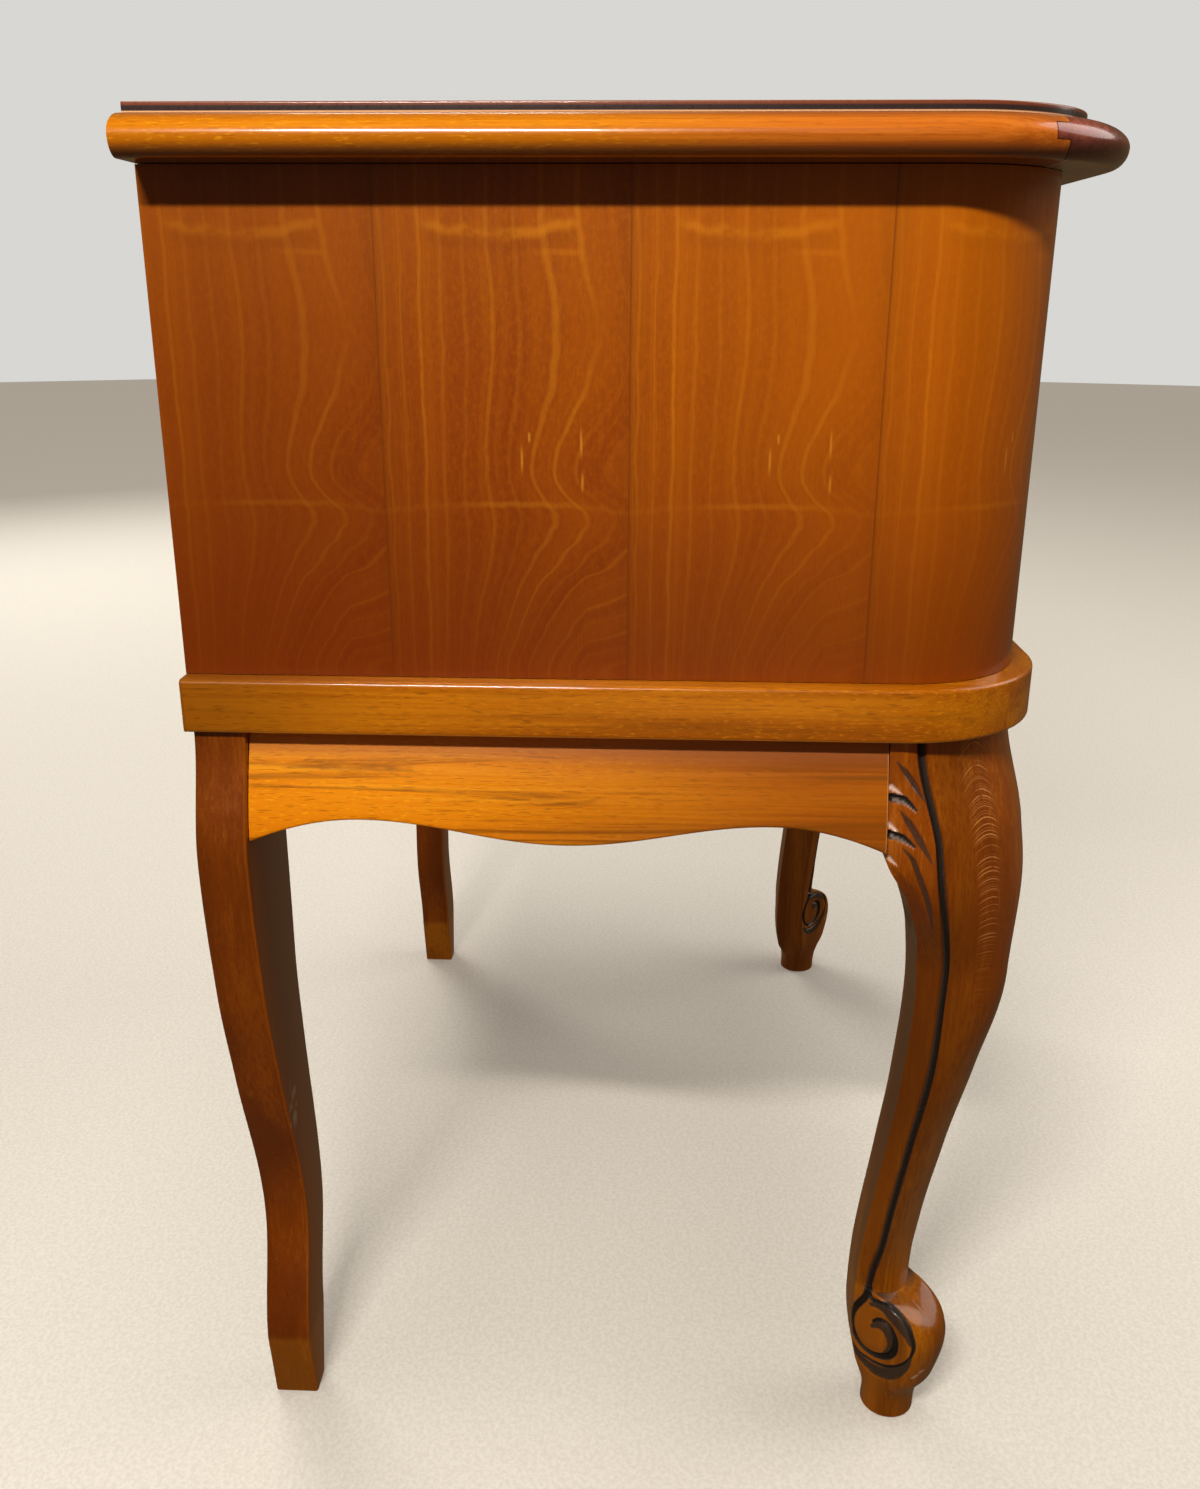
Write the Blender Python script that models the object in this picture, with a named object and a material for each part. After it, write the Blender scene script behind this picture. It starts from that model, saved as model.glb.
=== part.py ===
"""A cherry nightstand: two shallow drawers in a round-cornered case on tall curved legs.

Metres, +Z up, the front faces -Y. The origin is on the floor, under the middle of the top.
"""
import math

import bmesh
import bpy
from mathutils import Vector

# Case and overall sizes
HEIGHT = 0.620
BODY_WIDTH = 0.538
CORNER_RADIUS = 0.055
CORNER_STEPS = 8

# Clearance between pieces that touch
FIT = 0.0003

# Share of a diagonal step that lies along each side
ROOT = math.sqrt(0.5)

# Top: core board, nosed rails and a thin raised field
TOP_THICKNESS = 0.020
TOP_OVERHANG = 0.0245
NOSE_UNDERCUT = 0.0065
NOSE_HEIGHT = 0.0085
FIELD_STEP = 0.0018
FIELD_OVERHANG = 0.0079
FIELD_EASE = 0.0007
TOP_RAIL_WIDTH = 0.040
TONGUE_LENGTH = 0.0055
TONGUE_THICKNESS = 0.0055

# Base board under the case
LEG_HEIGHT = 0.379
BASE_THICKNESS = 0.023
BASE_PROUD = 0.0095
BASE_EASE = 0.0018

# Case boards
VENEER = 0.0008
BOARD = 0.018
STILE = 0.012
BACK_THICKNESS = 0.005
BACK_REBATE = 0.008
RAIL_HEIGHT = 0.012
MIDDLE_RAIL_HEIGHT = 0.014

# Drawers and what they run on
REVEAL = 0.0015
FRONT_THICKNESS = 0.018
FRONT_EASE = 0.0025
HEADROOM = 0.012
DRAWER_BOARD = 0.010
DRAWER_LENGTH = 0.300
DRAWER_BACK_SPACE = 0.033
DRAWER_BACK_DROP = 0.006
TAILS = 3
TAIL_LENGTH = 0.012
BOTTOM_THICKNESS = 0.004
BOTTOM_LIFT = 0.008
GROOVE_DEPTH = 0.005
RUNNER_BEARING = 0.014
GUIDE_PLAY = 0.0007
GUIDE_HEIGHT = 0.018
STOP_SIZE = (0.030, 0.016, 0.005)
STOP_INSET = 0.060

# Pulls
PULL_SPAN = 0.080
PULL_REACH = 0.0125
PULL_HEAD = 0.0055
PULL_NECK = 0.0032
PULL_FLANGE = 0.0085
PULL_FLANGE_HEIGHT = 0.0018
SHANK = 0.0020
SHANK_TAIL = 0.0055
NUT_WIDTH = 0.0080
NUT_HEIGHT = 0.0032
PIN = 0.0014
PIN_PLAY = 0.0004
BAIL_DROP = 0.027
BAIL_THICKNESS = 0.0052
BAIL_ELBOW = 0.010

# Aprons and glue blocks
APRON_THICKNESS = 0.018
APRON_INSET = 0.0078
APRON_FLARE = 0.0110
APRON_DROP = 0.0482
APRON_SAG = 0.0095
APRON_ARCH = 0.0105
APRON_SPRING = 0.048
BACK_APRON_DROP = 0.045
BLOCK_LEG = 0.034
BLOCK_HEIGHT = 0.030

# Rear legs: sawn boards, reaches measured out from the case side
REAR_LEG_THICKNESS = 0.022
REAR_LEG_INSET = 0.0025
REAR_TOP_REACH = 0.0055
REAR_KNEE_REACH = 0.0170
REAR_KNEE_DROP = 0.056
REAR_ANKLE_REACH = -0.0270
REAR_ANKLE_HEIGHT = 0.106
REAR_TOE_REACH = -0.0128
REAR_TOE_HEIGHT = 0.040
REAR_SOLE_REACH = -0.0195
REAR_SOLE_WIDTH = 0.016
REAR_TOP_WIDTH = 0.053
REAR_KNEE_WIDTH = 0.061
REAR_SHIN_WIDTH = 0.045
REAR_ANKLE_WIDTH = 0.032

# Front legs: carved on the diagonal, reaches measured from the corner's centre
BLOCK_NOSE = 0.0545
BLOCK_SIDE = 0.0575
BLOCK_OVERLAP = 0.0045
SKIRT_NOSE = 0.0683
SKIRT_SIDE = 0.0645
KNEE_REACH = 0.0738
KNEE_WIDTH = 0.049
KNEE_DROP = 0.085
CALF_REACH = 0.0749
CALF_HEEL = 0.0255
CALF_WIDTH = 0.038
CALF_DROP = 0.114
ANKLE_HEIGHT = 0.089
ANKLE_REACH = 0.0385
ANKLE_HEEL = 0.0068
SHIN_WIDTH = 0.031
SCROLL_TOP = 0.0745
SCROLL_LIP = 0.0055
SCROLL_HEIGHT = 0.055
SCROLL_REACH = 0.0634
SCROLL_HEEL = 0.0063
SCROLL_WIDTH = 0.031
SCROLL_ROUND = 0.0088
PAD_CENTRE = 0.0365
PAD_RADIUS = 0.0135
PAD_HEIGHT = 0.012
FLUTE_WIDTH = 0.0045
FLUTE_DEPTH = 0.0020
FLUTE_ANKLE = 0.0312
FLUTE_CALF = 0.0580
FLUTE_TURN_TOP = 36.0
FLUTE_TURN_SKIRT = 28.6
FLUTE_TURN_CALF = 25.0
VOLUTE_CENTRE = (0.0406, 0.0535)
VOLUTE_RADIUS = 0.0182
VOLUTE_EYE = 0.0065
VOLUTE_START = 128
VOLUTE_BRIDGE = 14
VOLUTE_COIL = 375
VOLUTE_RING = -175
VOLUTE_GROOVE = 0.0020
VOLUTE_STEP = 15

# Sizes and places that follow from the sizes above
BODY_DEPTH = FRONT_THICKNESS + DRAWER_LENGTH + DRAWER_BACK_SPACE + BACK_THICKNESS
BACK = (BODY_DEPTH + TOP_OVERHANG) / 2
FRONT = BACK - BODY_DEPTH
SIDE = BODY_WIDTH / 2
CORNER_X = SIDE - CORNER_RADIUS
CORNER_Y = FRONT + CORNER_RADIUS
BASE_TOP = LEG_HEIGHT + BASE_THICKNESS
TOP_UNDER = HEIGHT - TOP_THICKNESS
SHOULDER = HEIGHT - FIELD_STEP
CASE_LOW = BASE_TOP + FIT
CASE_HIGH = TOP_UNDER - FIT
SKIN = VENEER + FIT
PANEL_IN = SIDE - SKIN - BOARD
OPEN_HALF = CORNER_X - STILE
OPENING = (TOP_UNDER - BASE_TOP - 2 * RAIL_HEIGHT - MIDDLE_RAIL_HEIGHT) / 2
LOWER_SILL = BASE_TOP + RAIL_HEIGHT
UPPER_SILL = LOWER_SILL + OPENING + MIDDLE_RAIL_HEIGHT
DRAWER_HALF = OPEN_HALF - REVEAL
TAIL_PITCH = (OPENING - HEADROOM - FIT) / TAILS
TAIL_ROOT = 0.44 * TAIL_PITCH
TAIL_TIP = 0.62 * TAIL_PITCH
LEG_TOP = LEG_HEIGHT - FIT
SKIRT = LEG_HEIGHT - APRON_DROP
CALF_HEIGHT = LEG_HEIGHT - CALF_DROP

# Colours of the finishes, linear
AMBER = (0.42, 0.135, 0.022)
HONEY = (0.50, 0.200, 0.035)
RUSSET = (0.26, 0.070, 0.018)
PALE = (0.55, 0.36, 0.18)
BRASS = (0.62, 0.42, 0.16)


def clear_scene():
    """Start from an empty scene."""
    for old in list(bpy.data.objects):
        bpy.data.objects.remove(old, do_unlink=True)


def finish(name, colour, roughness=0.35, metallic=0.0):
    """One plain surface finish."""
    material = bpy.data.materials.new(name + "_finish")
    material.use_nodes = True
    shader = material.node_tree.nodes["Principled BSDF"]
    shader.inputs["Base Color"].default_value = (*colour, 1.0)
    shader.inputs["Roughness"].default_value = roughness
    shader.inputs["Metallic"].default_value = metallic
    return material


def empty(name, place, parent=None):
    """A point that carries moving pieces."""
    holder = bpy.data.objects.new(name, None)
    bpy.context.collection.objects.link(holder)
    holder.parent = parent
    holder.location = Vector(place) - world_place(parent)
    return holder


def world_place(item):
    """Where an unturned object or empty stands in the world."""
    place = Vector((0, 0, 0))
    while item is not None:
        place += item.location
        item = item.parent
    return place


def solid(name, rings, colour=None, ring_shaped=False, parent=None, smooth=None, **look):
    """A closed body through rings of points, capped at its ends or joined end to start."""
    origin = world_place(parent)
    mesh = bmesh.new()
    loops = [[mesh.verts.new(Vector(point) - origin) for point in ring] for ring in rings]
    pairs = list(zip(loops, loops[1:]))
    if ring_shaped:
        pairs.append((loops[-1], loops[0]))
    else:
        mesh.faces.new(loops[0])
        mesh.faces.new(loops[-1])
    for near, far in pairs:
        for i in range(len(near)):
            j = (i + 1) % len(near)
            mesh.faces.new((near[i], near[j], far[j], far[i]))
    bmesh.ops.recalc_face_normals(mesh, faces=mesh.faces)
    data = bpy.data.meshes.new(name)
    mesh.to_mesh(data)
    mesh.free()
    if smooth is not None:
        data.shade_smooth()
        data.set_sharp_from_angle(angle=math.radians(smooth))
    item = bpy.data.objects.new(name, data)
    bpy.context.collection.objects.link(item)
    item.parent = parent
    if colour is None:
        item.hide_render = True
        item.display_type = 'WIRE'
    else:
        data.materials.append(finish(name, colour, **look))
    return item


def along(axis, flat, distance):
    """A point of a flat outline, set at a distance along the axis that the outline is pulled in."""
    u, v = flat
    return {'X': (distance, u, v), 'Y': (u, distance, v), 'Z': (u, v, distance)}[axis]


def extruded(name, outline, axis, start, end, colour=None, **options):
    """A flat outline pulled straight from start to end."""
    rings = [[along(axis, flat, distance) for flat in outline] for distance in (start, end)]
    return solid(name, rings, colour, **options)


def box(name, low, high, colour=None, **options):
    """A plain board between two corners."""
    outline = [(low[0], low[1]), (high[0], low[1]), (high[0], high[1]), (low[0], high[1])]
    return extruded(name, outline, 'Z', low[2], high[2], colour, **options)


def rod(name, axis, centre, radius, start, end, sides=12, **options):
    """A round bar along an axis, or a drill for a hole."""
    outline = [(centre[0] + radius * math.cos(turn), centre[1] + radius * math.sin(turn))
               for turn in (math.tau * i / sides for i in range(sides))]
    return extruded(name, outline, axis, start, end, **options)


def tube(name, path, radii, normal, sides=8, colour=None, **options):
    """A round bar of varying thickness along a path that lies flat across the given normal."""
    rings = []
    for i, point in enumerate(path):
        ahead = Vector(path[min(i + 1, len(path) - 1)]) - Vector(path[max(i - 1, 0)])
        across = ahead.cross(normal).normalized()
        turns = [math.tau * (k + 0.5) / sides for k in range(sides)]
        rings.append([Vector(point) + radii[i] * (math.cos(t) * across + math.sin(t) * normal)
                      for t in turns])
    return solid(name, rings, colour, **options)


def shaped(item, tool, operation='DIFFERENCE'):
    """Cut a piece with a tool, or keep only what lies inside it."""
    cut = item.modifiers.new(tool.name, 'BOOLEAN')
    cut.object = tool
    cut.operation = operation
    cut.solver = 'EXACT'


def eased(table, place):
    """Value at a place of the smooth curve through (place, value) pairs, with no overshoot."""
    spans = list(zip(table, table[1:]))
    rises = [(b[1] - a[1]) / (b[0] - a[0]) for a, b in spans]
    slopes = [0.0] + [2 * p * q / (p + q) if p * q > 0 else 0.0 for p, q in zip(rises, rises[1:])] + [0.0]
    for i, (a, b) in enumerate(spans):
        if place <= b[0] or i == len(spans) - 1:
            width = b[0] - a[0]
            t = (place - a[0]) / width
            start, end = slopes[i] * width, slopes[i + 1] * width
            return (a[1] * (1 + 2 * t) * (1 - t) ** 2 + start * t * (1 - t) ** 2
                    + b[1] * t * t * (3 - 2 * t) - end * t * t * (1 - t))


def spread(start, end, count):
    """Evenly spaced values, both ends included."""
    return [start + (end - start) * i / (count - 1) for i in range(count)]


def case_outline(offset):
    """The case seen from above, grown by an offset all round except at the flush back."""
    reach = SIDE + offset
    radius = CORNER_RADIUS + offset
    points = [(reach, BACK), (-reach, BACK)]
    for centre, start in ((-CORNER_X, math.pi), (CORNER_X, 1.5 * math.pi)):
        for turn in spread(start, start + math.pi / 2, CORNER_STEPS + 1):
            points.append((centre + radius * math.cos(turn), CORNER_Y + radius * math.sin(turn)))
    return points


def slab(name, profile, colour, **options):
    """A board of the case's outline whose edge follows a profile of (offset, height) pairs."""
    rings = [[(x, y, height) for x, y in case_outline(offset)] for offset, height in profile]
    return solid(name, rings, colour, smooth=40, **options)


def nose_profile():
    """The top's edge: an undercut quarter round below, and a long quarter oval above."""
    nose = TOP_UNDER + NOSE_HEIGHT
    crown = TOP_OVERHANG - FIELD_OVERHANG
    profile = []
    for turn in spread(0, math.pi / 2, 5):
        profile.append((TOP_OVERHANG - NOSE_UNDERCUT * (1 - math.sin(turn)),
                        nose - NOSE_HEIGHT * math.cos(turn)))
    for turn in spread(0, math.pi / 2, 7)[1:]:
        profile.append((FIELD_OVERHANG + crown * math.cos(turn),
                        nose + (SHOULDER - nose) * math.sin(turn)))
    return profile


def make_top():
    """Core board, three nosed rails joined by a tongue, and the raised field on them."""
    joint = FRONT - TOP_OVERHANG + TOP_RAIL_WIDTH
    edge = SIDE + TOP_OVERHANG - TOP_RAIL_WIDTH
    middle = (TOP_UNDER + SHOULDER) / 2
    half = TONGUE_THICKNESS / 2
    outside = TOP_OVERHANG + BODY_DEPTH
    low, high = TOP_UNDER - TOP_THICKNESS, HEIGHT + TOP_THICKNESS

    front = slab("top_rail_front", nose_profile(), RUSSET)
    tip = joint + TONGUE_LENGTH
    keep = [(joint - outside, low), (joint, low), (joint, middle - half), (tip, middle - half),
            (tip, middle + half), (joint, middle + half), (joint, high), (joint - outside, high)]
    shaped(front, extruded("front_rail_shape", keep, 'X', -BODY_WIDTH, BODY_WIDTH), 'INTERSECT')

    def grooved(rear, bottom, top):
        """Outline, seen from the side, of what lies behind the joint, with room for the tongue."""
        face, floor = joint + FIT, tip + FIT
        wall = half + FIT
        return [(face, bottom), (rear, bottom), (rear, top), (face, top), (face, middle + wall),
                (floor, middle + wall), (floor, middle - wall), (face, middle - wall)]

    for side, sign in (("left", -1), ("right", 1)):
        rail = slab("top_rail_" + side, nose_profile(), AMBER)
        keep = extruded("rail_shape_" + side, grooved(BACK + outside, low, high), 'X',
                        sign * edge, sign * BODY_WIDTH)
        shaped(rail, keep, 'INTERSECT')
    extruded("top_core", grooved(BACK, TOP_UNDER, SHOULDER), 'X', FIT - edge, edge - FIT, AMBER)
    slab("top_field", [(FIELD_OVERHANG, SHOULDER + FIT), (FIELD_OVERHANG, HEIGHT - FIELD_EASE),
                       (FIELD_OVERHANG - FIELD_EASE, HEIGHT)], AMBER, roughness=0.2)


def make_base():
    """The board under the case, proud of it on three sides, with eased edges."""
    profile = []
    for turn in spread(-math.pi / 2, 0, 3):
        profile.append((BASE_PROUD - BASE_EASE * (1 - math.cos(turn)),
                        LEG_HEIGHT + BASE_EASE * (1 + math.sin(turn))))
    for turn in spread(0, math.pi / 2, 3):
        profile.append((BASE_PROUD - BASE_EASE * (1 - math.cos(turn)),
                        BASE_TOP - BASE_EASE * (1 - math.sin(turn))))
    slab("base_board", profile, HONEY)


def corner_arc(sign, radius, start, end):
    """Points round a front corner, seen from above, from the side (0) to the front (1)."""
    turns = spread(start * math.pi / 2, end * math.pi / 2, CORNER_STEPS + 1)
    return [(sign * (CORNER_X + radius * math.cos(t)), CORNER_Y - radius * math.sin(t)) for t in turns]


def make_case():
    """Side panels, rounded corner posts, the veneer over both, the back and the front rails."""
    for side, sign in (("left", -1), ("right", 1)):
        outer = sign * (SIDE - SKIN)
        inner = sign * PANEL_IN
        rebate = sign * (PANEL_IN + BACK_REBATE)
        ledge = BACK - BACK_THICKNESS - FIT
        panel = [(outer, CORNER_Y + FIT), (outer, BACK), (rebate, BACK), (rebate, ledge),
                 (inner, ledge), (inner, CORNER_Y + FIT)]
        extruded("side_panel_" + side, panel, 'Z', CASE_LOW, CASE_HIGH, PALE)

        depth = CORNER_RADIUS - SKIN
        post = corner_arc(sign, depth, 0, 1)
        post += [(sign * OPEN_HALF, FRONT + SKIN), (sign * OPEN_HALF, FRONT + SKIN + BOARD)]
        post += corner_arc(sign, depth - BOARD, 1, 0)
        extruded("corner_post_" + side, post, 'Z', CASE_LOW, CASE_HIGH, PALE, smooth=30)

        skin = [(sign * SIDE, BACK)] + corner_arc(sign, CORNER_RADIUS, 0, 1)
        skin += [(sign * OPEN_HALF, FRONT), (sign * OPEN_HALF, FRONT + VENEER)]
        skin += corner_arc(sign, CORNER_RADIUS - VENEER, 1, 0) + [(sign * (SIDE - VENEER), BACK)]
        extruded("side_veneer_" + side, skin, 'Z', CASE_LOW, CASE_HIGH, AMBER, smooth=30)

    back_half = PANEL_IN + BACK_REBATE - FIT
    box("back_panel", (-back_half, BACK - BACK_THICKNESS, CASE_LOW), (back_half, BACK, CASE_HIGH), PALE)

    half = OPEN_HALF - FIT
    rails = (("lower", CASE_LOW, LOWER_SILL),
             ("middle", LOWER_SILL + OPENING, UPPER_SILL),
             ("upper", UPPER_SILL + OPENING, CASE_HIGH))
    for level, low, high in rails:
        box("front_rail_" + level, (-half, FRONT, low), (half, CORNER_Y, high), AMBER)


def make_runners():
    """Runners with guides under each drawer, kickers over the upper one, and stops on the rails."""
    start = CORNER_Y + FIT
    end = BACK - BACK_THICKNESS - 2 * FIT
    bearing = DRAWER_HALF - RUNNER_BEARING
    guide = DRAWER_HALF + GUIDE_PLAY
    wall = PANEL_IN - FIT
    levels = (("lower", CASE_LOW, LOWER_SILL), ("upper", UPPER_SILL - MIDDLE_RAIL_HEIGHT, UPPER_SILL))
    for side, sign in (("left", -1), ("right", 1)):
        for level, low, high in levels:
            profile = [(bearing, low), (wall, low), (wall, high + GUIDE_HEIGHT),
                       (guide, high + GUIDE_HEIGHT), (guide, high), (bearing, high)]
            outline = [(sign * x, z) for x, z in profile]
            extruded("runner_%s_%s" % (level, side), outline, 'Y', start, end, PALE, roughness=0.6)
        edges = sorted((sign * bearing, sign * wall))
        box("kicker_" + side, (edges[0], start, UPPER_SILL + OPENING), (edges[1], end, CASE_HIGH),
            PALE, roughness=0.6)

    width, length, height = STOP_SIZE
    face = FRONT + FRONT_THICKNESS + FIT
    for level, sill in (("lower", LOWER_SILL), ("upper", UPPER_SILL)):
        for side, sign in (("left", -1), ("right", 1)):
            centre = sign * (DRAWER_HALF - STOP_INSET)
            box("drawer_stop_%s_%s" % (level, side),
                (centre - width / 2, face, sill + FIT),
                (centre + width / 2, face + length, sill + height), PALE, roughness=0.6)


def tail(middle, clearance, reach, root):
    """One dovetail seen from the side: narrow at its root, wide at its tip."""
    narrow = TAIL_ROOT / 2 + clearance
    wide = TAIL_TIP / 2 + clearance
    return [(root, middle + narrow), (reach - clearance, middle + wide),
            (reach - clearance, middle - wide), (root, middle - narrow)]


def make_drawer(level, sill):
    """One drawer on its carrier: dovetailed sides, a back, a bottom in grooves, and its pull."""
    low, high = sill + REVEAL, sill + OPENING - REVEAL
    carrier = empty(level + "_drawer", (0, FRONT, (low + high) / 2))
    name = level + "_drawer_"
    inside = FRONT + FRONT_THICKNESS
    rear = inside + DRAWER_LENGTH
    foot = sill + FIT
    rim = sill + OPENING - HEADROOM
    inner = DRAWER_HALF - DRAWER_BOARD
    floor = foot + BOTTOM_LIFT
    tip = inside - TAIL_LENGTH
    tails = [foot + TAIL_PITCH * (i + 0.5) for i in range(TAILS)]
    carried = {"parent": carrier}

    rings = []
    for inset, depth in ((FRONT_EASE, FRONT), (0, FRONT + FRONT_EASE), (0, inside)):
        across, down, up = DRAWER_HALF - inset, low + inset, high - inset
        rings.append([(-across, depth, down), (across, depth, down),
                      (across, depth, up), (-across, depth, up)])
    face = solid(name + "front", rings, AMBER, **carried)

    slot = (floor - FIT, floor + BOTTOM_THICKNESS + FIT)
    reach = inner + GROOVE_DEPTH
    shaped(face, box(name + "front_groove", (-reach, inside - GROOVE_DEPTH, slot[0]),
                     (reach, rear, slot[1])))

    for side, sign in (("left", -1), ("right", 1)):
        outline = [(inside + FIT, foot)]
        for middle in tails:
            outline += tail(middle, 0, tip + FIT, inside + FIT)[::-1]
        outline += [(inside + FIT, rim), (rear, rim), (rear, foot)]
        board = extruded(name + "side_" + side, outline, 'X', sign * inner, sign * DRAWER_HALF,
                         PALE, roughness=0.55, **carried)
        edges = sorted((sign * (inner - DRAWER_BOARD), sign * reach))
        shaped(board, box(name + "groove_" + side, (edges[0], FRONT, slot[0]),
                          (edges[1], rear + DRAWER_BOARD, slot[1])))
        for i, middle in enumerate(tails):
            socket = tail(middle, FIT, tip, inside + FIT)
            mouth = inside + DRAWER_BOARD
            socket = [(mouth, socket[0][1])] + socket + [(mouth, socket[-1][1])]
            tool = extruded("%ssocket_%s_%d" % (name, side, i), socket, 'X',
                            sign * (inner - FIT), sign * (DRAWER_HALF + DRAWER_BOARD))
            shaped(face, tool)

    ledge = floor + BOTTOM_THICKNESS + FIT
    box(name + "back", (FIT - inner, rear - DRAWER_BOARD, ledge),
        (inner - FIT, rear, rim - DRAWER_BACK_DROP), PALE, roughness=0.55, **carried)
    box(name + "bottom", (FIT - reach, inside - GROOVE_DEPTH + FIT, floor),
        (reach - FIT, rear, floor + BOTTOM_THICKNESS), PALE, roughness=0.6, **carried)
    make_pull(level, face, carrier, (low + high) / 2)


def make_pull(level, face, carrier, height):
    """Two turned posts bolted through the drawer front, and a bail that swings between them."""
    inside = FRONT + FRONT_THICKNESS
    pivot = FRONT - PULL_REACH
    flange = FRONT - FIT
    tail_end = inside + FIT + SHANK_TAIL
    for side, sign in (("left", -1), ("right", 1)):
        x = sign * PULL_SPAN / 2
        profile = [(tail_end, SHANK), (flange, SHANK), (flange, PULL_FLANGE),
                   (flange - PULL_FLANGE_HEIGHT / 2, PULL_FLANGE),
                   (flange - PULL_FLANGE_HEIGHT, PULL_NECK)]
        start = math.asin(PULL_NECK / PULL_HEAD)
        for turn in spread(start, math.pi * 0.94, 7):
            profile.append((pivot + PULL_HEAD * math.cos(turn), PULL_HEAD * math.sin(turn)))
        sides = 14
        turns = [math.tau * i / sides for i in range(sides)]
        rings = [[(x + radius * math.cos(t), depth, height + radius * math.sin(t)) for t in turns]
                 for depth, radius in profile]
        post = solid("%s_pull_post_%s" % (level, side), rings, BRASS, roughness=0.3, metallic=1.0,
                     parent=carrier, smooth=40)
        shaped(post, rod("%s_eye_%s" % (level, side), 'X', (pivot, height), PIN + PIN_PLAY,
                         x - PULL_HEAD * 2, x + PULL_HEAD * 2))
        shaped(face, rod("%s_hole_%s" % (level, side), 'Y', (x, height), SHANK + FIT,
                         FRONT - FRONT_THICKNESS, inside + FRONT_THICKNESS))

        corners = 12
        flats = NUT_WIDTH / 2
        outer = []
        bore = []
        for i in range(corners):
            turn = math.tau * i / corners
            radius = flats if i % 2 == 0 else flats / math.cos(math.pi / 6)
            outer.append((x + radius * math.cos(turn), height + radius * math.sin(turn)))
            hole = SHANK + FIT
            bore.append((x + hole * math.cos(turn), height + hole * math.sin(turn)))
        near, far = inside + FIT, inside + FIT + NUT_HEIGHT
        rings = [[along('Y', flat, depth) for flat in outline]
                 for outline, depth in ((outer, near), (outer, far), (bore, far), (bore, near))]
        solid("%s_pull_nut_%s" % (level, side), rings, BRASS, ring_shaped=True, roughness=0.4,
              metallic=1.0, parent=carrier)

    hinge = empty(level + "_bail_hinge", (0, pivot, height), carrier)
    pin_end = PULL_SPAN / 2 - PULL_HEAD
    shoulder = PULL_SPAN / 2 + BAIL_ELBOW
    half_path = [(pin_end, 0), (PULL_SPAN / 2 + PULL_HEAD, 0), (shoulder - PIN, -PIN)]
    for turn in spread(0, math.pi / 2, 9)[1:]:
        half_path.append((shoulder * math.cos(turn) ** 0.7,
                          -BAIL_ELBOW / 2 - (BAIL_DROP - BAIL_ELBOW / 2) * math.sin(turn) ** 1.3))
    path = [(-x, pivot, height + z) for x, z in half_path]
    path += [(x, pivot, height + z) for x, z in half_path[-2::-1]]
    last = len(half_path) - 1
    grip = [PIN + (BAIL_THICKNESS / 2 - PIN) * max(0, (i - 1) / (last - 1)) for i in range(last + 1)]
    tube(level + "_pull_bail", path, grip + grip[-2::-1], Vector((0, 1, 0)), colour=BRASS,
         roughness=0.3, metallic=1.0, parent=hinge, smooth=50)


def scallop(start, end):
    """An apron's lower edge: it springs up from each end, then sags to the middle."""
    crown = SKIRT + APRON_ARCH
    spring = [(APRON_SPRING * share, SKIRT + APRON_ARCH * (1 - (1 - share) ** 2))
              for share in spread(0, 1, 5)]
    points = [(start + run, height) for run, height in spring]
    first, last = start + APRON_SPRING, end - APRON_SPRING
    for turn in spread(0, math.tau, 13)[1:-1]:
        points.append((first + (last - first) * turn / math.tau,
                       crown - APRON_SAG * (1 - math.cos(turn)) / 2))
    return points + [(end - run, height) for run, height in reversed(spring)]


def swell_out(height):
    """How far an apron's face has swelled outward at a height, down from the base board."""
    share = (LEG_HEIGHT - height) / APRON_DROP
    return APRON_FLARE * (1 - max(0, 1 - share) ** 1.4)


def apron(name, start, end, place):
    """A scalloped apron with a swelled face and a flat inside."""
    rings = []
    for run, low in scallop(start, end):
        ring = [place(run, swell_out(height), height) for height in spread(low, LEG_TOP, 6)]
        rings.append(ring + [place(run, -APRON_THICKNESS, LEG_TOP), place(run, -APRON_THICKNESS, low)])
    return solid(name, rings, HONEY, smooth=30)


def make_aprons():
    """Swelled aprons at the sides and front, a straight one at the back, and glue blocks."""
    inset = BASE_PROUD - APRON_INSET
    inner = SIDE + inset - APRON_THICKNESS
    rear = BACK - REAR_LEG_INSET - REAR_LEG_THICKNESS - FIT
    start = CORNER_Y + BLOCK_OVERLAP + FIT
    for side, sign in (("left", -1), ("right", 1)):
        apron("side_apron_" + side, start, rear,
              lambda run, out, height: (sign * (SIDE + inset + out), run, height))
        for place, y, way in (("rear", rear, -1), ("front", start, 1)):
            x = sign * (inner - FIT)
            block = [(x, y), (x - sign * BLOCK_LEG, y), (x, y + way * BLOCK_LEG)]
            extruded("glue_block_%s_%s" % (place, side), block, 'Z', LEG_TOP - BLOCK_HEIGHT, LEG_TOP,
                     PALE, roughness=0.6)

    reach = CORNER_X - BLOCK_OVERLAP - FIT
    apron("front_apron", -reach, reach, lambda run, out, height: (run, FRONT - inset - out, height))
    span = SIDE + REAR_TOP_REACH - REAR_TOP_WIDTH - FIT
    outer = BACK - REAR_LEG_INSET
    box("back_apron", (-span, outer - APRON_THICKNESS, LEG_HEIGHT - BACK_APRON_DROP),
        (span, outer, LEG_TOP), RUSSET)


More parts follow.
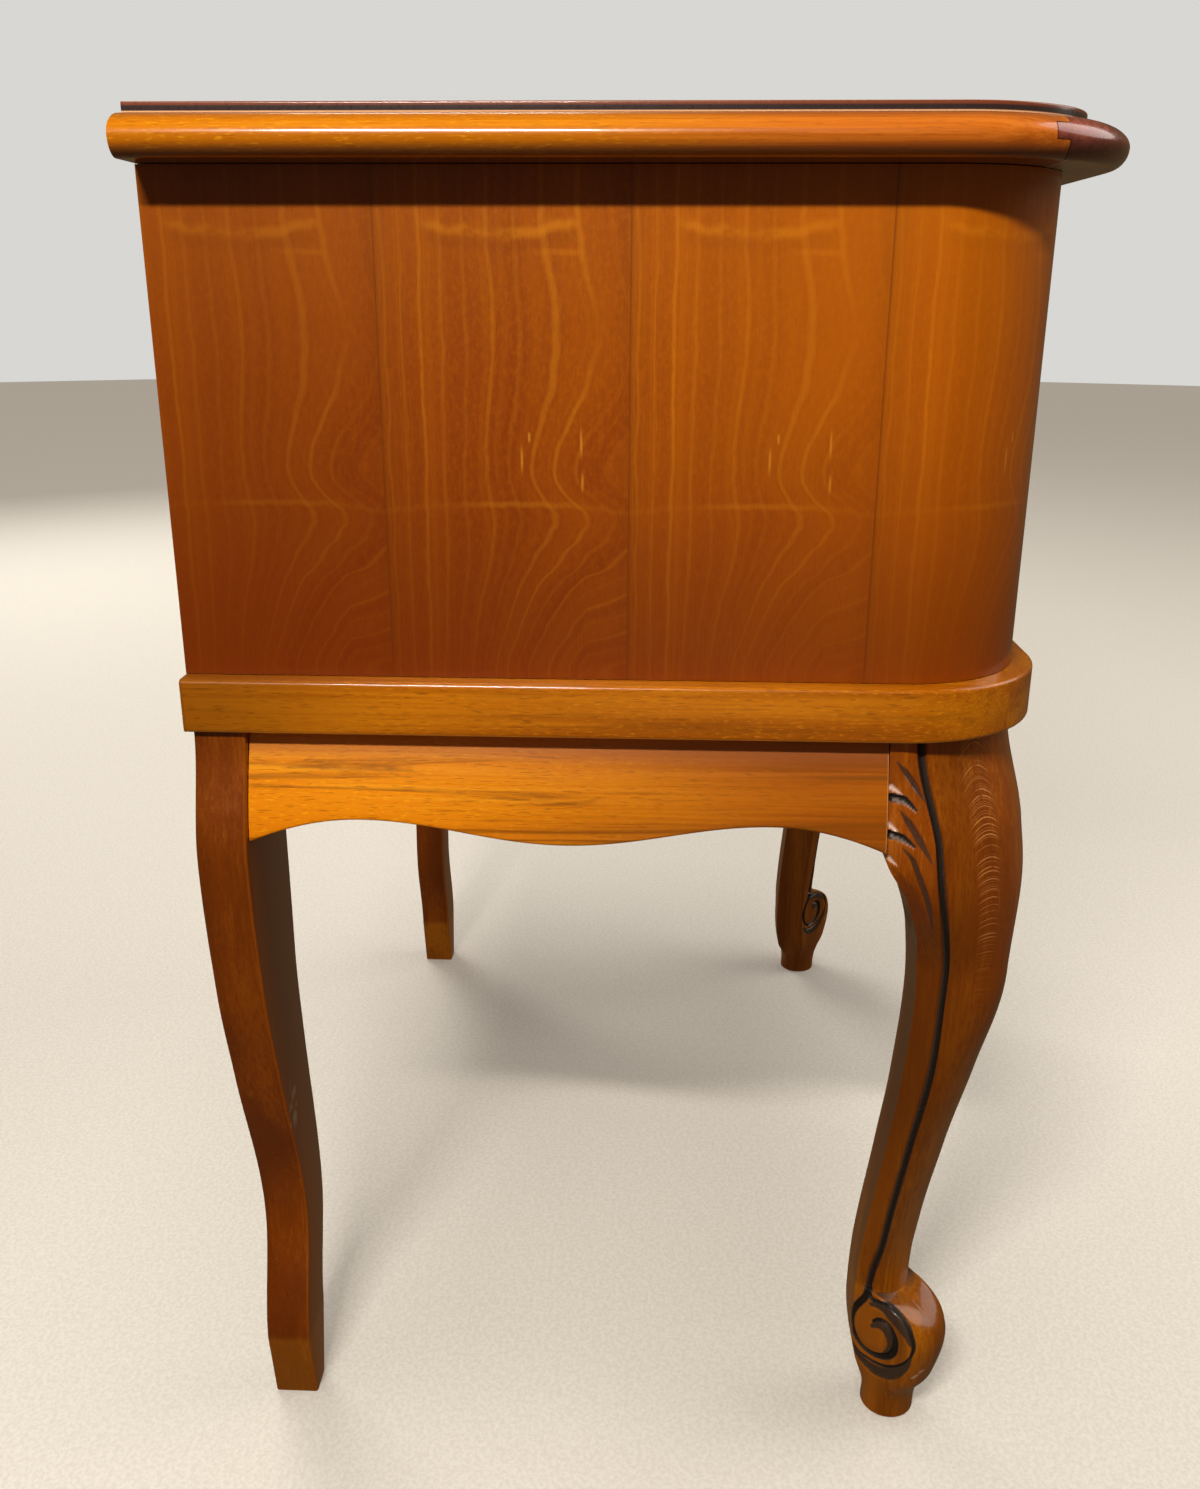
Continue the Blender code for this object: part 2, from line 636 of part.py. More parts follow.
def make_rear_legs():
    """Flat boards sawn to an S: out at the knee, in at the ankle, with a chamfered toe."""
    knee = LEG_HEIGHT - REAR_KNEE_DROP
    rise = knee - REAR_ANKLE_HEIGHT
    swing = REAR_KNEE_REACH - REAR_ANKLE_REACH
    shin = REAR_ANKLE_HEIGHT + 0.45 * rise
    outer = [(0, REAR_SOLE_REACH), (REAR_TOE_HEIGHT, REAR_TOE_REACH),
             (REAR_ANKLE_HEIGHT, REAR_ANKLE_REACH), (shin, REAR_ANKLE_REACH + 0.56 * swing),
             (REAR_ANKLE_HEIGHT + 0.68 * rise, REAR_ANKLE_REACH + 0.84 * swing),
             (knee, REAR_KNEE_REACH), (LEG_TOP, REAR_TOP_REACH)]
    width = [(0, REAR_SOLE_WIDTH), (REAR_TOE_HEIGHT, REAR_ANKLE_WIDTH),
             (REAR_ANKLE_HEIGHT, REAR_ANKLE_WIDTH), (shin, REAR_SHIN_WIDTH), (knee, REAR_KNEE_WIDTH),
             (LEG_TOP, REAR_TOP_WIDTH)]
    heights = [0] + spread(REAR_TOE_HEIGHT, REAR_ANKLE_HEIGHT, 6)
    heights += spread(REAR_ANKLE_HEIGHT, knee, 11)[1:] + spread(knee, LEG_TOP, 5)[1:]
    near = BACK - REAR_LEG_INSET - REAR_LEG_THICKNESS
    for side, sign in (("left", -1), ("right", 1)):
        reach = [SIDE + eased(outer, z) for z in heights]
        outline = [(sign * x, z) for x, z in zip(reach, heights)]
        inside = [(sign * (x - eased(width, z)), z) for x, z in zip(reach, heights)]
        extruded("rear_leg_" + side, outline + inside[::-1], 'Y', near, near + REAR_LEG_THICKNESS,
                 RUSSET, smooth=30)


def shin_height(share):
    """A height on the front leg's shin, from the ankle (0) to the calf (1)."""
    return ANKLE_HEIGHT + share * (CALF_HEIGHT - ANKLE_HEIGHT)


def front_leg_curves():
    """How far the front leg's nose, heel, flank and flute stand at each height."""
    climb = CALF_REACH - ANKLE_REACH
    heel_climb = CALF_HEEL - ANKLE_HEEL
    flute_climb = FLUTE_CALF - FLUTE_ANKLE
    knee = LEG_HEIGHT - KNEE_DROP
    corner = -BLOCK_OVERLAP * math.sqrt(2)
    bulge = SCROLL_REACH - PAD_CENTRE - PAD_RADIUS
    nose = [(0, PAD_CENTRE + PAD_RADIUS), (SCROLL_HEIGHT / 2, SCROLL_REACH - 0.35 * bulge),
            (SCROLL_HEIGHT, SCROLL_REACH), (SCROLL_TOP - SCROLL_LIP, SCROLL_REACH - 0.3 * bulge),
            (SCROLL_TOP - SCROLL_LIP / 3, SCROLL_REACH - 0.83 * bulge), (SCROLL_TOP, ANKLE_REACH),
            (ANKLE_HEIGHT, ANKLE_REACH), (shin_height(0.40), ANKLE_REACH + 0.32 * climb),
            (shin_height(0.68), ANKLE_REACH + 0.66 * climb), (CALF_HEIGHT, CALF_REACH),
            (knee, KNEE_REACH), (SKIRT, SKIRT_NOSE), (LEG_TOP, BLOCK_NOSE)]
    heel = [(0, PAD_CENTRE - PAD_RADIUS), (1.6 * PAD_HEIGHT, 2 * SCROLL_HEEL),
            (SCROLL_HEIGHT, SCROLL_HEEL), (SCROLL_TOP, ANKLE_HEEL),
            (shin_height(0.36), ANKLE_HEEL + 0.51 * heel_climb),
            (shin_height(0.60), ANKLE_HEEL + 0.81 * heel_climb), (shin_height(0.90), CALF_HEEL),
            (CALF_HEIGHT + 0.15 * (SKIRT - CALF_HEIGHT), 0.91 * CALF_HEEL),
            (CALF_HEIGHT + 0.6 * (SKIRT - CALF_HEIGHT), 0.43 * CALF_HEEL), (SKIRT, corner), (LEG_TOP, corner)]
    shin = SHIN_WIDTH / 2
    flank = [(0, PAD_RADIUS), (SCROLL_HEIGHT, SCROLL_WIDTH / 2), (SCROLL_TOP, shin), (ANKLE_HEIGHT, shin),
             (CALF_HEIGHT, CALF_WIDTH / 2), (knee, KNEE_WIDTH / 2), (LEG_TOP, BLOCK_SIDE)]
    flute = [(0, PAD_CENTRE + PAD_RADIUS / 2), (SCROLL_HEIGHT, SCROLL_REACH - SCROLL_ROUND),
             (SCROLL_TOP - SCROLL_LIP, SCROLL_REACH - 1.7 * SCROLL_ROUND), (SCROLL_TOP, FLUTE_ANKLE),
             (ANKLE_HEIGHT, FLUTE_ANKLE), (shin_height(0.14), FLUTE_ANKLE + 0.16 * flute_climb),
             (shin_height(0.45), FLUTE_ANKLE + 0.57 * flute_climb),
             (shin_height(0.75), FLUTE_ANKLE + 0.9 * flute_climb), (CALF_HEIGHT, FLUTE_CALF),
             (knee, FLUTE_CALF + 0.02 * CALF_REACH), (LEG_TOP, FLUTE_CALF + 0.05 * CALF_REACH)]
    return nose, heel, flank, flute


def knee_block(nose, heel, height, depth):
    """Half of the section under the case: a quarter disc about the corner, notched by the flute."""
    flute = eased([(CALF_HEIGHT, FLUTE_TURN_CALF), (SKIRT, FLUTE_TURN_SKIRT),
                   (LEG_TOP, FLUTE_TURN_TOP)], height)
    lip = math.degrees(FLUTE_WIDTH / 2 / nose)
    side = eased([(CALF_HEIGHT, SKIRT_SIDE), (SKIRT, SKIRT_SIDE), (LEG_TOP, BLOCK_SIDE)], height)
    points = [(heel, 0), ((side + heel * ROOT) * ROOT, (side - heel * ROOT) * ROOT)]
    for angle in [flute + lip, flute, flute - lip] + [flute * share for share in (0.7, 0.45, 0.2, 0)]:
        reach = nose + (side - nose) * (angle / 45) ** 2
        if angle == flute:
            reach -= depth
        points.append((reach * math.cos(math.radians(angle)), reach * math.sin(math.radians(angle))))
    return points


def front_leg_section(height, curves):
    """Half of the leg's section, heel to nose, as (out along the diagonal, across it) pairs."""
    nose, heel, flank, flute = (eased(curve, height) for curve in curves)
    half = FLUTE_WIDTH / 2
    depth = FLUTE_DEPTH if height > SCROLL_TOP - SCROLL_LIP else 0
    plate = [(heel, 0), (heel + flank, flank), (flute - half, flank), (flute, flank - depth)]
    for share in spread(0.24, 1, 5):
        turn = share * math.pi / 2
        plate.append((flute + (nose - flute) * math.sin(turn), flank * math.cos(turn)))
    plate[-1] = (nose, 0)
    block = knee_block(nose, heel, max(height, CALF_HEIGHT), depth)
    pad = [(PAD_CENTRE - PAD_RADIUS * math.cos(turn), PAD_RADIUS * math.sin(turn))
           for turn in spread(0, math.pi, len(plate))]

    # The block gives way to the shin between the apron and the calf, and the scroll to a round pad
    swell = eased([(0, 0), (CALF_HEIGHT, 0), (SKIRT, 1), (LEG_TOP, 1)], height)
    stub = eased([(0, 1), (PAD_HEIGHT, 0.75), (2.5 * PAD_HEIGHT, 0), (LEG_TOP, 0)], height)
    section = []
    for a, b, c in zip(plate, block, pad):
        mixed = [a[k] + swell * (b[k] - a[k]) for k in (0, 1)]
        section.append(tuple(mixed[k] + stub * (c[k] - mixed[k]) for k in (0, 1)))
    return section


def on_diagonal(sign, out, across, height):
    """World place of a point on a front leg: out along the diagonal, and across it."""
    return (sign * (CORNER_X + (out + across) * ROOT), CORNER_Y - (out - across) * ROOT, height)


def make_front_legs():
    """Cabriole legs on the corners' diagonals: knee, fluted shin, scroll with a volute, and pad."""
    curves = front_leg_curves()
    heights = [0, PAD_HEIGHT / 3] + spread(PAD_HEIGHT, SCROLL_TOP - SCROLL_LIP, 9)
    heights += [SCROLL_TOP - SCROLL_LIP * share for share in (0.65, 0.33, 0.1, 0)]
    heights += spread(ANKLE_HEIGHT, CALF_HEIGHT, 9) + spread(CALF_HEIGHT, SKIRT, 6)[1:]
    heights += spread(SKIRT, LEG_TOP, 5)[1:]
    for side, sign in (("left", -1), ("right", 1)):
        rings = []
        for height in heights:
            half = front_leg_section(height, curves)
            ring = half + [(out, -across) for out, across in half[-2:0:-1]]
            rings.append([on_diagonal(sign, out, across, height) for out, across in ring])
        leg = solid("front_leg_" + side, rings, RUSSET, smooth=45)
        for face in (1, -1):
            grooves = (("coil", VOLUTE_START, VOLUTE_COIL, VOLUTE_EYE),
                       ("ring", VOLUTE_START - VOLUTE_BRIDGE, VOLUTE_RING, VOLUTE_RADIUS))
            for name, start, sweep, end in grooves:
                tool = volute_tool("%s_%s_%d" % (name, side, face), sign, face, curves[2], start, sweep, end)
                shaped(leg, tool)


def volute_tool(name, sign, face, flank, start, sweep, end):
    """The cutter for one of a volute's grooves: a round bar wound about the scroll's flank."""
    path = []
    for share in spread(0, 1, round(abs(sweep) / VOLUTE_STEP) + 1):
        radius = VOLUTE_RADIUS + (end - VOLUTE_RADIUS) * share
        turn = math.radians(start + sweep * share)
        out = VOLUTE_CENTRE[0] + radius * math.cos(turn)
        height = VOLUTE_CENTRE[1] + radius * math.sin(turn)
        path.append(on_diagonal(sign, out, face * eased(flank, height), height))
    return tube(name, path, [VOLUTE_GROOVE] * len(path), Vector((sign, 1, 0)).normalized(), sides=6)


def main():
    """Build the nightstand, top to floor."""
    clear_scene()
    make_top()
    make_case()
    make_runners()
    make_drawer("upper", UPPER_SILL)
    make_drawer("lower", LOWER_SILL)
    make_base()
    make_aprons()
    make_rear_legs()
    make_front_legs()


main()
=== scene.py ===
import math

import bpy
import numpy as np
from mathutils import Matrix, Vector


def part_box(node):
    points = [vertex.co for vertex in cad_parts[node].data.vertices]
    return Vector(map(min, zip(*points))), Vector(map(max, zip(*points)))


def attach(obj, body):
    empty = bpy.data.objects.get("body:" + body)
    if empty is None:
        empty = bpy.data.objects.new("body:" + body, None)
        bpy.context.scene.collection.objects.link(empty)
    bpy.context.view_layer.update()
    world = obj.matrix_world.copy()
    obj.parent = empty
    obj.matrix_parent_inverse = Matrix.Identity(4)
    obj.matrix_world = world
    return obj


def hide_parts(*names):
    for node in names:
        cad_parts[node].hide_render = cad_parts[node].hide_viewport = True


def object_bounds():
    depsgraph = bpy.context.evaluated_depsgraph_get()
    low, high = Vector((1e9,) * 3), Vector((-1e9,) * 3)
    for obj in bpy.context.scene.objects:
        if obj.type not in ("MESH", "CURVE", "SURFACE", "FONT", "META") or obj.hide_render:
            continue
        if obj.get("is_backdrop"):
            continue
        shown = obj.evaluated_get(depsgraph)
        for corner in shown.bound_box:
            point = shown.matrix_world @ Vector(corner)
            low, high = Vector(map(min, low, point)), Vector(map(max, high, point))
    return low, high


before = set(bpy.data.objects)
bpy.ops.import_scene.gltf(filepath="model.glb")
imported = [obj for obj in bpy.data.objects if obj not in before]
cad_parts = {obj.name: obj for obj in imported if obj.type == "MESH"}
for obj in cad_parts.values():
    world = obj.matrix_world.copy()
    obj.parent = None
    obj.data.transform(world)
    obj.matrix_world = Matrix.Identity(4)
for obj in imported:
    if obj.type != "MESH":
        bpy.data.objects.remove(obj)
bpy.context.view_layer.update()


# The room
# A pale matt sheet for a floor under a pale backdrop, seen from close to the left side, just below the top.
# A narrow key light stands over the viewer's left shoulder and a low warm one near the floor behind the
# viewer, with soft ones in front of the piece, behind it and above it.

class Tone:
    """A number, place or colour that changes over a surface. Sums on it add Math nodes to its finish."""

    def __init__(self, finish, socket):
        self.finish = finish
        self.socket = socket

    def __add__(self, other):
        return self.finish.maths('ADD', self, other)

    def __sub__(self, other):
        return self.finish.maths('SUBTRACT', self, other)

    def __rsub__(self, other):
        return self.finish.maths('SUBTRACT', other, self)

    def __mul__(self, other):
        return self.finish.maths('MULTIPLY', self, other)

    def __truediv__(self, other):
        return self.finish.maths('DIVIDE', self, other)

    def __pow__(self, other):
        return self.finish.maths('POWER', self, other)

    def __abs__(self):
        return self.finish.maths('ABSOLUTE', self)

    __radd__ = __add__
    __rmul__ = __mul__

    def rise(self, low, high):
        """0 below low, 1 above high, smooth between; falls where high is the smaller."""
        return self.finish.node("ShaderNodeMapRange", {"interpolation_type": 'SMOOTHSTEP'},
                                {"Value": self, 1: low, 2: high, 3: 0.0, 4: 1.0})


class Finish:
    """A piece's surface: one shader, with whatever feeds it."""

    def __init__(self, name, **constants):
        self.material = bpy.data.materials.new(name)
        self.material.use_nodes = True
        self.tree = self.material.node_tree
        self.shader = self.tree.nodes["Principled BSDF"]
        self.colour = None
        for socket, value in constants.items():
            self.shader.inputs[socket.replace("_", " ")].default_value = value

    def node(self, kind, settings, sockets, out=0):
        """Any node: its settings first, then the values or links of its sockets. Stops are the places and
        levels that a ramp's curve runs through."""
        made = self.tree.nodes.new(kind)
        for key, value in settings.items():
            if key == "stops":
                for place, level in value[1:-1]:
                    made.color_ramp.elements.new(place)
                for stop, (place, level) in zip(made.color_ramp.elements, value):
                    stop.position = place
                    stop.color = (level, level, level, 1.0)
                made.color_ramp.interpolation = 'CARDINAL'
            else:
                setattr(made, key, value)
        for key, value in sockets.items():
            if isinstance(value, Tone):
                self.tree.links.new(value.socket, made.inputs[key])
            else:
                made.inputs[key].default_value = value
        return Tone(self, made.outputs[out])

    def maths(self, operation, first, second=0.0):
        """A Math node on one or two numbers."""
        return self.node("ShaderNodeMath", {"operation": operation}, {0: first, 1: second})

    def place(self):
        """Where a point of the surface lies, in metres."""
        return self.node("ShaderNodeTexCoord", {}, {}, "Object")

    def parts(self, vector=None):
        """The x, y and z of a vector, or else of the surface's own points."""
        split = self.node("ShaderNodeSeparateXYZ", {}, {0: vector or self.place()})
        return [Tone(self, part) for part in split.socket.node.outputs]

    def noise(self, vector, scale, detail=2.0, rough=0.5, bend=0.0):
        """Cloudy noise between about 0.25 and 0.75; scale counts cycles to a unit on each axis."""
        stretched = self.node("ShaderNodeMapping", {}, {"Vector": vector, "Scale": scale})
        return self.node("ShaderNodeTexNoise", {}, {"Vector": stretched, "Scale": 1.0, "Detail": detail,
                                                    "Roughness": rough, "Distortion": bend})

    def lines(self, run, scale, detail=1.0):
        """Noise that changes along one number alone, so that it draws lines across it."""
        return self.node("ShaderNodeTexNoise", {"noise_dimensions": '1D'},
                         {"W": run * scale, "Scale": 1.0, "Detail": detail})

    def blend(self, share, under, over):
        """One colour laid over another by a share. A plain colour is given as tint takes it."""
        under, over = (tint(*colour) if isinstance(colour, tuple) else colour for colour in (under, over))
        return self.node("ShaderNodeMix", {"data_type": 'RGBA'}, {0: share, 6: under, 7: over}, 2)

    def coats(self, *layers):
        """Lays colours over the surface's own colour in turn, each by its own share."""
        for share, over in layers:
            self.colour = self.blend(share, self.colour, over)
        self.feed(Base_Color=self.colour)

    def feed(self, **links):
        """Links what changes over the surface to the shader's sockets."""
        for socket, value in links.items():
            self.tree.links.new(value.socket, self.shader.inputs[socket.replace("_", " ")])

    def bump(self, height, strength, depth):
        """Tilts the surface by a height, so that pores and fibres catch the light."""
        self.feed(Normal=self.node("ShaderNodeBump", {}, {"Strength": strength, "Distance": depth,
                                                          "Height": height}))


def tint(red, green, blue, strength=1.0):
    """A colour given as it looks on screen, 0 to 255, turned into light and dimmed to a strength."""
    share = np.array((red, green, blue)) / 255
    light = np.where(share <= 0.04045, share / 12.92, ((share + 0.055) / 1.055) ** 2.4)
    return (*(strength * light).tolist(), 1.0)


def beside(*grids):
    """Grids set side by side, the columns of one after those of another."""
    return np.concatenate(grids, axis=1)


def points(x, y, z):
    """A grid of points from their coordinates, each a grid, a row, a column or one number."""
    return np.stack(np.broadcast_arrays(x, y, z), axis=-1)


def quads(rows, columns):
    """Corner numbers of the four-sided faces of a grid whose last column meets its first."""
    at = np.arange(rows * columns).reshape(rows, columns)
    at = beside(at, at[:, :1])
    return np.stack([at[:-1, :-1], at[:-1, 1:], at[1:, 1:], at[1:, :-1]], axis=-1).reshape(-1, 4)


FLOOR_RADIUS, FLOOR_RINGS, FLOOR_SPOKES, FLOOR_DROP = 9.0, 12, 64, 0.0003


def floor_sheet():
    """A flat round sheet: a point for each turn about its middle and each distance from it, where the
    distance grows as the square of the ring's number."""
    out = np.linspace(0.02, 1, FLOOR_RINGS)[:, None] ** 2 * FLOOR_RADIUS
    turn = np.linspace(0, math.tau, FLOOR_SPOKES, endpoint=False)[None, :]
    return points(out * np.cos(turn), out * np.sin(turn), -FLOOR_DROP)


floor_mesh = bpy.data.meshes.new("floor")
floor_mesh.from_pydata(floor_sheet().reshape(-1, 3).tolist(), [],
                       quads(FLOOR_RINGS, FLOOR_SPOKES).tolist() + [list(range(FLOOR_SPOKES))])
floor = bpy.data.objects.new("floor", floor_mesh)
bpy.context.collection.objects.link(floor)
matt = Finish("floor_matt", Roughness=0.85, Specular_IOR_Level=0.2, Emission_Strength=0.12,
              Emission_Color=tint(226, 222, 214))
speckle = matt.noise(matt.place(), (420, 420, 420), 3.0, 0.7)
matt.feed(Base_Color=matt.blend(speckle.rise(0.35, 0.65), (203, 198, 188), (215, 211, 202)))
matt.bump(speckle, 0.15, 0.0006)
floor_mesh.materials.append(matt.material)
floor.visible_diffuse = False
floor.visible_glossy = False
floor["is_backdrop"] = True

# The backdrop is pale to the eye, and dim and warm where the lacquer mirrors it.
air = bpy.data.worlds.new("air")
air.use_nodes = True
backdrop = air.node_tree.nodes["Background"]
hue = air.node_tree.nodes.new("ShaderNodeMix")
hue.data_type = 'RGBA'
hue.inputs[6].default_value = tint(228, 190, 140)
hue.inputs[7].default_value = tint(233, 232, 228)
seen = air.node_tree.nodes.new("ShaderNodeMapRange")
seen.inputs["To Min"].default_value = 0.14
seen.inputs["To Max"].default_value = 0.84
ray = air.node_tree.nodes.new("ShaderNodeLightPath").outputs["Is Camera Ray"]
for start, end in ((ray, seen.inputs["Value"]), (ray, hue.inputs[0]),
                   (hue.outputs[2], backdrop.inputs["Color"]),
                   (seen.outputs["Result"], backdrop.inputs["Strength"])):
    air.node_tree.links.new(start, end)
bpy.context.scene.world = air
bpy.context.scene.view_settings.view_transform = 'Standard'


def set_up(name, data, place, ahead, right):
    """Puts a lamp or a camera at a place, looking ahead, with its right hand towards right."""
    holder = bpy.data.objects.new(name, data)
    bpy.context.collection.objects.link(holder)
    turn = np.stack([right, np.cross(right, ahead), -ahead], axis=1)
    holder.matrix_world = Matrix.Translation(place) @ Matrix(turn.tolist()).to_4x4()
    return holder


def soft_light(name, kind, place, aim, power, colour, gloss, **shape):
    """A lamp turned towards an aim. The viewer doesn't see it, and the lacquer mirrors it only with gloss."""
    lamp = bpy.data.lights.new(name, kind)
    lamp.energy = power
    lamp.color = colour
    for key, value in shape.items():
        setattr(lamp, key, value)
    ahead = np.array(aim, float) - np.array(place, float)
    ahead /= np.linalg.norm(ahead)
    right = np.cross(ahead, (0.0, 0.0, 1.0))
    holder = set_up(name, lamp, place, ahead, right / np.linalg.norm(right))
    holder.visible_camera = False
    holder.visible_glossy = gloss


soft_light("key_light", 'AREA', (-1.16, 0.24, 1.25), (0, 0, 0.42), 16.5, (1.0, 0.94, 0.85), True,
           shape='RECTANGLE', size=0.34, size_y=0.045)
soft_light("low_light", 'SPOT', (-1.05, -0.05, 0.08), (0, 0, 0.09), 9.0, (1.0, 0.78, 0.50), False,
           spot_size=math.radians(44), spot_blend=1.0, shadow_soft_size=0.2)
soft_light("front_light", 'AREA', (0.3, -2.2, 2.0), (0, 0, 0.35), 27, (1.0, 0.96, 0.90), True,
           shape='DISK', size=2.2)
soft_light("rear_light", 'AREA', (2.1, 1.5, 1.7), (0, 0, 0.35), 40, (1.0, 0.97, 0.92), False,
           shape='DISK', size=1.6)
soft_light("overhead", 'SUN', (0.01, 0, 2.0), (0, 0, 0), 1.2, (1.0, 0.97, 0.93), False, angle=0.6)

PICTURE_HEIGHT, FOCAL_PIXELS, SENSOR = 1489, 1320, 36
EYE = (-0.798, -0.00595, 0.5542)
YAW, PITCH, ROLL = 0.0404, 0.3287, 0.0034
viewer = bpy.data.cameras.new("viewer")
viewer.lens = FOCAL_PIXELS * SENSOR / PICTURE_HEIGHT
viewer.sensor_width = SENSOR
viewer.clip_start = 0.01
ahead = np.array((math.cos(YAW) * math.cos(PITCH), math.sin(YAW) * math.cos(PITCH), -math.sin(PITCH)))
right = np.array((math.sin(YAW), -math.cos(YAW), 0.0))
right = right * math.cos(ROLL) + np.cross(right, ahead) * math.sin(ROLL)
bpy.context.scene.camera = set_up("viewer", viewer, EYE, ahead, right)


# Front legs
# Two cabriole legs in solid cherry, set on the corners' diagonals and screwed up into the base board.
# They are bandsawn from thick stock, rounded with rasps, then fluted and carved with gouges.

def corners(node):
    """The lowest and the highest corner of one of the frame's solids, to a hundredth of a millimetre."""
    return np.round([list(corner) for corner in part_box(node)], 5)


SIDES = (("left", -1), ("right", 1))
ROOT = math.sqrt(0.5)
SIDE, BACK = corners("side_veneer_right")[1, :2]
FRONT = corners("side_veneer_right")[0, 1]
CORNER_ROUND = 0.055
CORNER_X, CORNER_Y = SIDE - CORNER_ROUND, FRONT + CORNER_ROUND
LEG_TOP = corners("front_leg_right")[1, 2]
APRON_FOOT = corners("side_apron_right")[0, 2]
KNEE, CALF, ANKLE, SCROLL_TOP, SCROLL = 0.294, 0.265, 0.089, 0.0745, 0.055
PAD_CENTRE, PAD_RADIUS = 0.0365, 0.0135
FLUTE_HALF, FLUTE_DEPTH = 0.00225, 0.0022
HEEL_COLUMNS, FLANK_COLUMNS, FLUTE_COLUMNS, NOSE_COLUMNS = 10, 54, 12, 41
FLUTE_START = HEEL_COLUMNS + FLANK_COLUMNS
NOSE_START = FLUTE_START + FLUTE_COLUMNS


def through(table, at):
    """Smooth curve through (place, value) pairs with no overshoot: on each span a cubic whose slopes
    are the harmonic means of the rises on both sides, level at both ends."""
    place, value = np.array(table, float).T
    width = np.diff(place)
    rise = np.diff(value) / width
    pair = rise[:-1] * rise[1:]
    total = rise[:-1] + rise[1:]
    slope = np.zeros(len(place))
    slope[1:-1] = np.where(pair > 0, 2 * pair / np.where(total == 0, 1, total), 0)
    span = np.clip(np.searchsorted(place, at, side="left") - 1, 0, len(width) - 1)
    t = np.clip((at - place[span]) / width[span], 0, 1)
    return (value[span] * (1 + 2 * t) * (1 - t) ** 2 + slope[span] * width[span] * t * (1 - t) ** 2
            + value[span + 1] * t * t * (3 - 2 * t) - slope[span + 1] * width[span] * t * t * (1 - t))


def shin(share):
    """A height on the shin, from the ankle (0) to the calf (1)."""
    return ANKLE + share * (CALF - ANKLE)


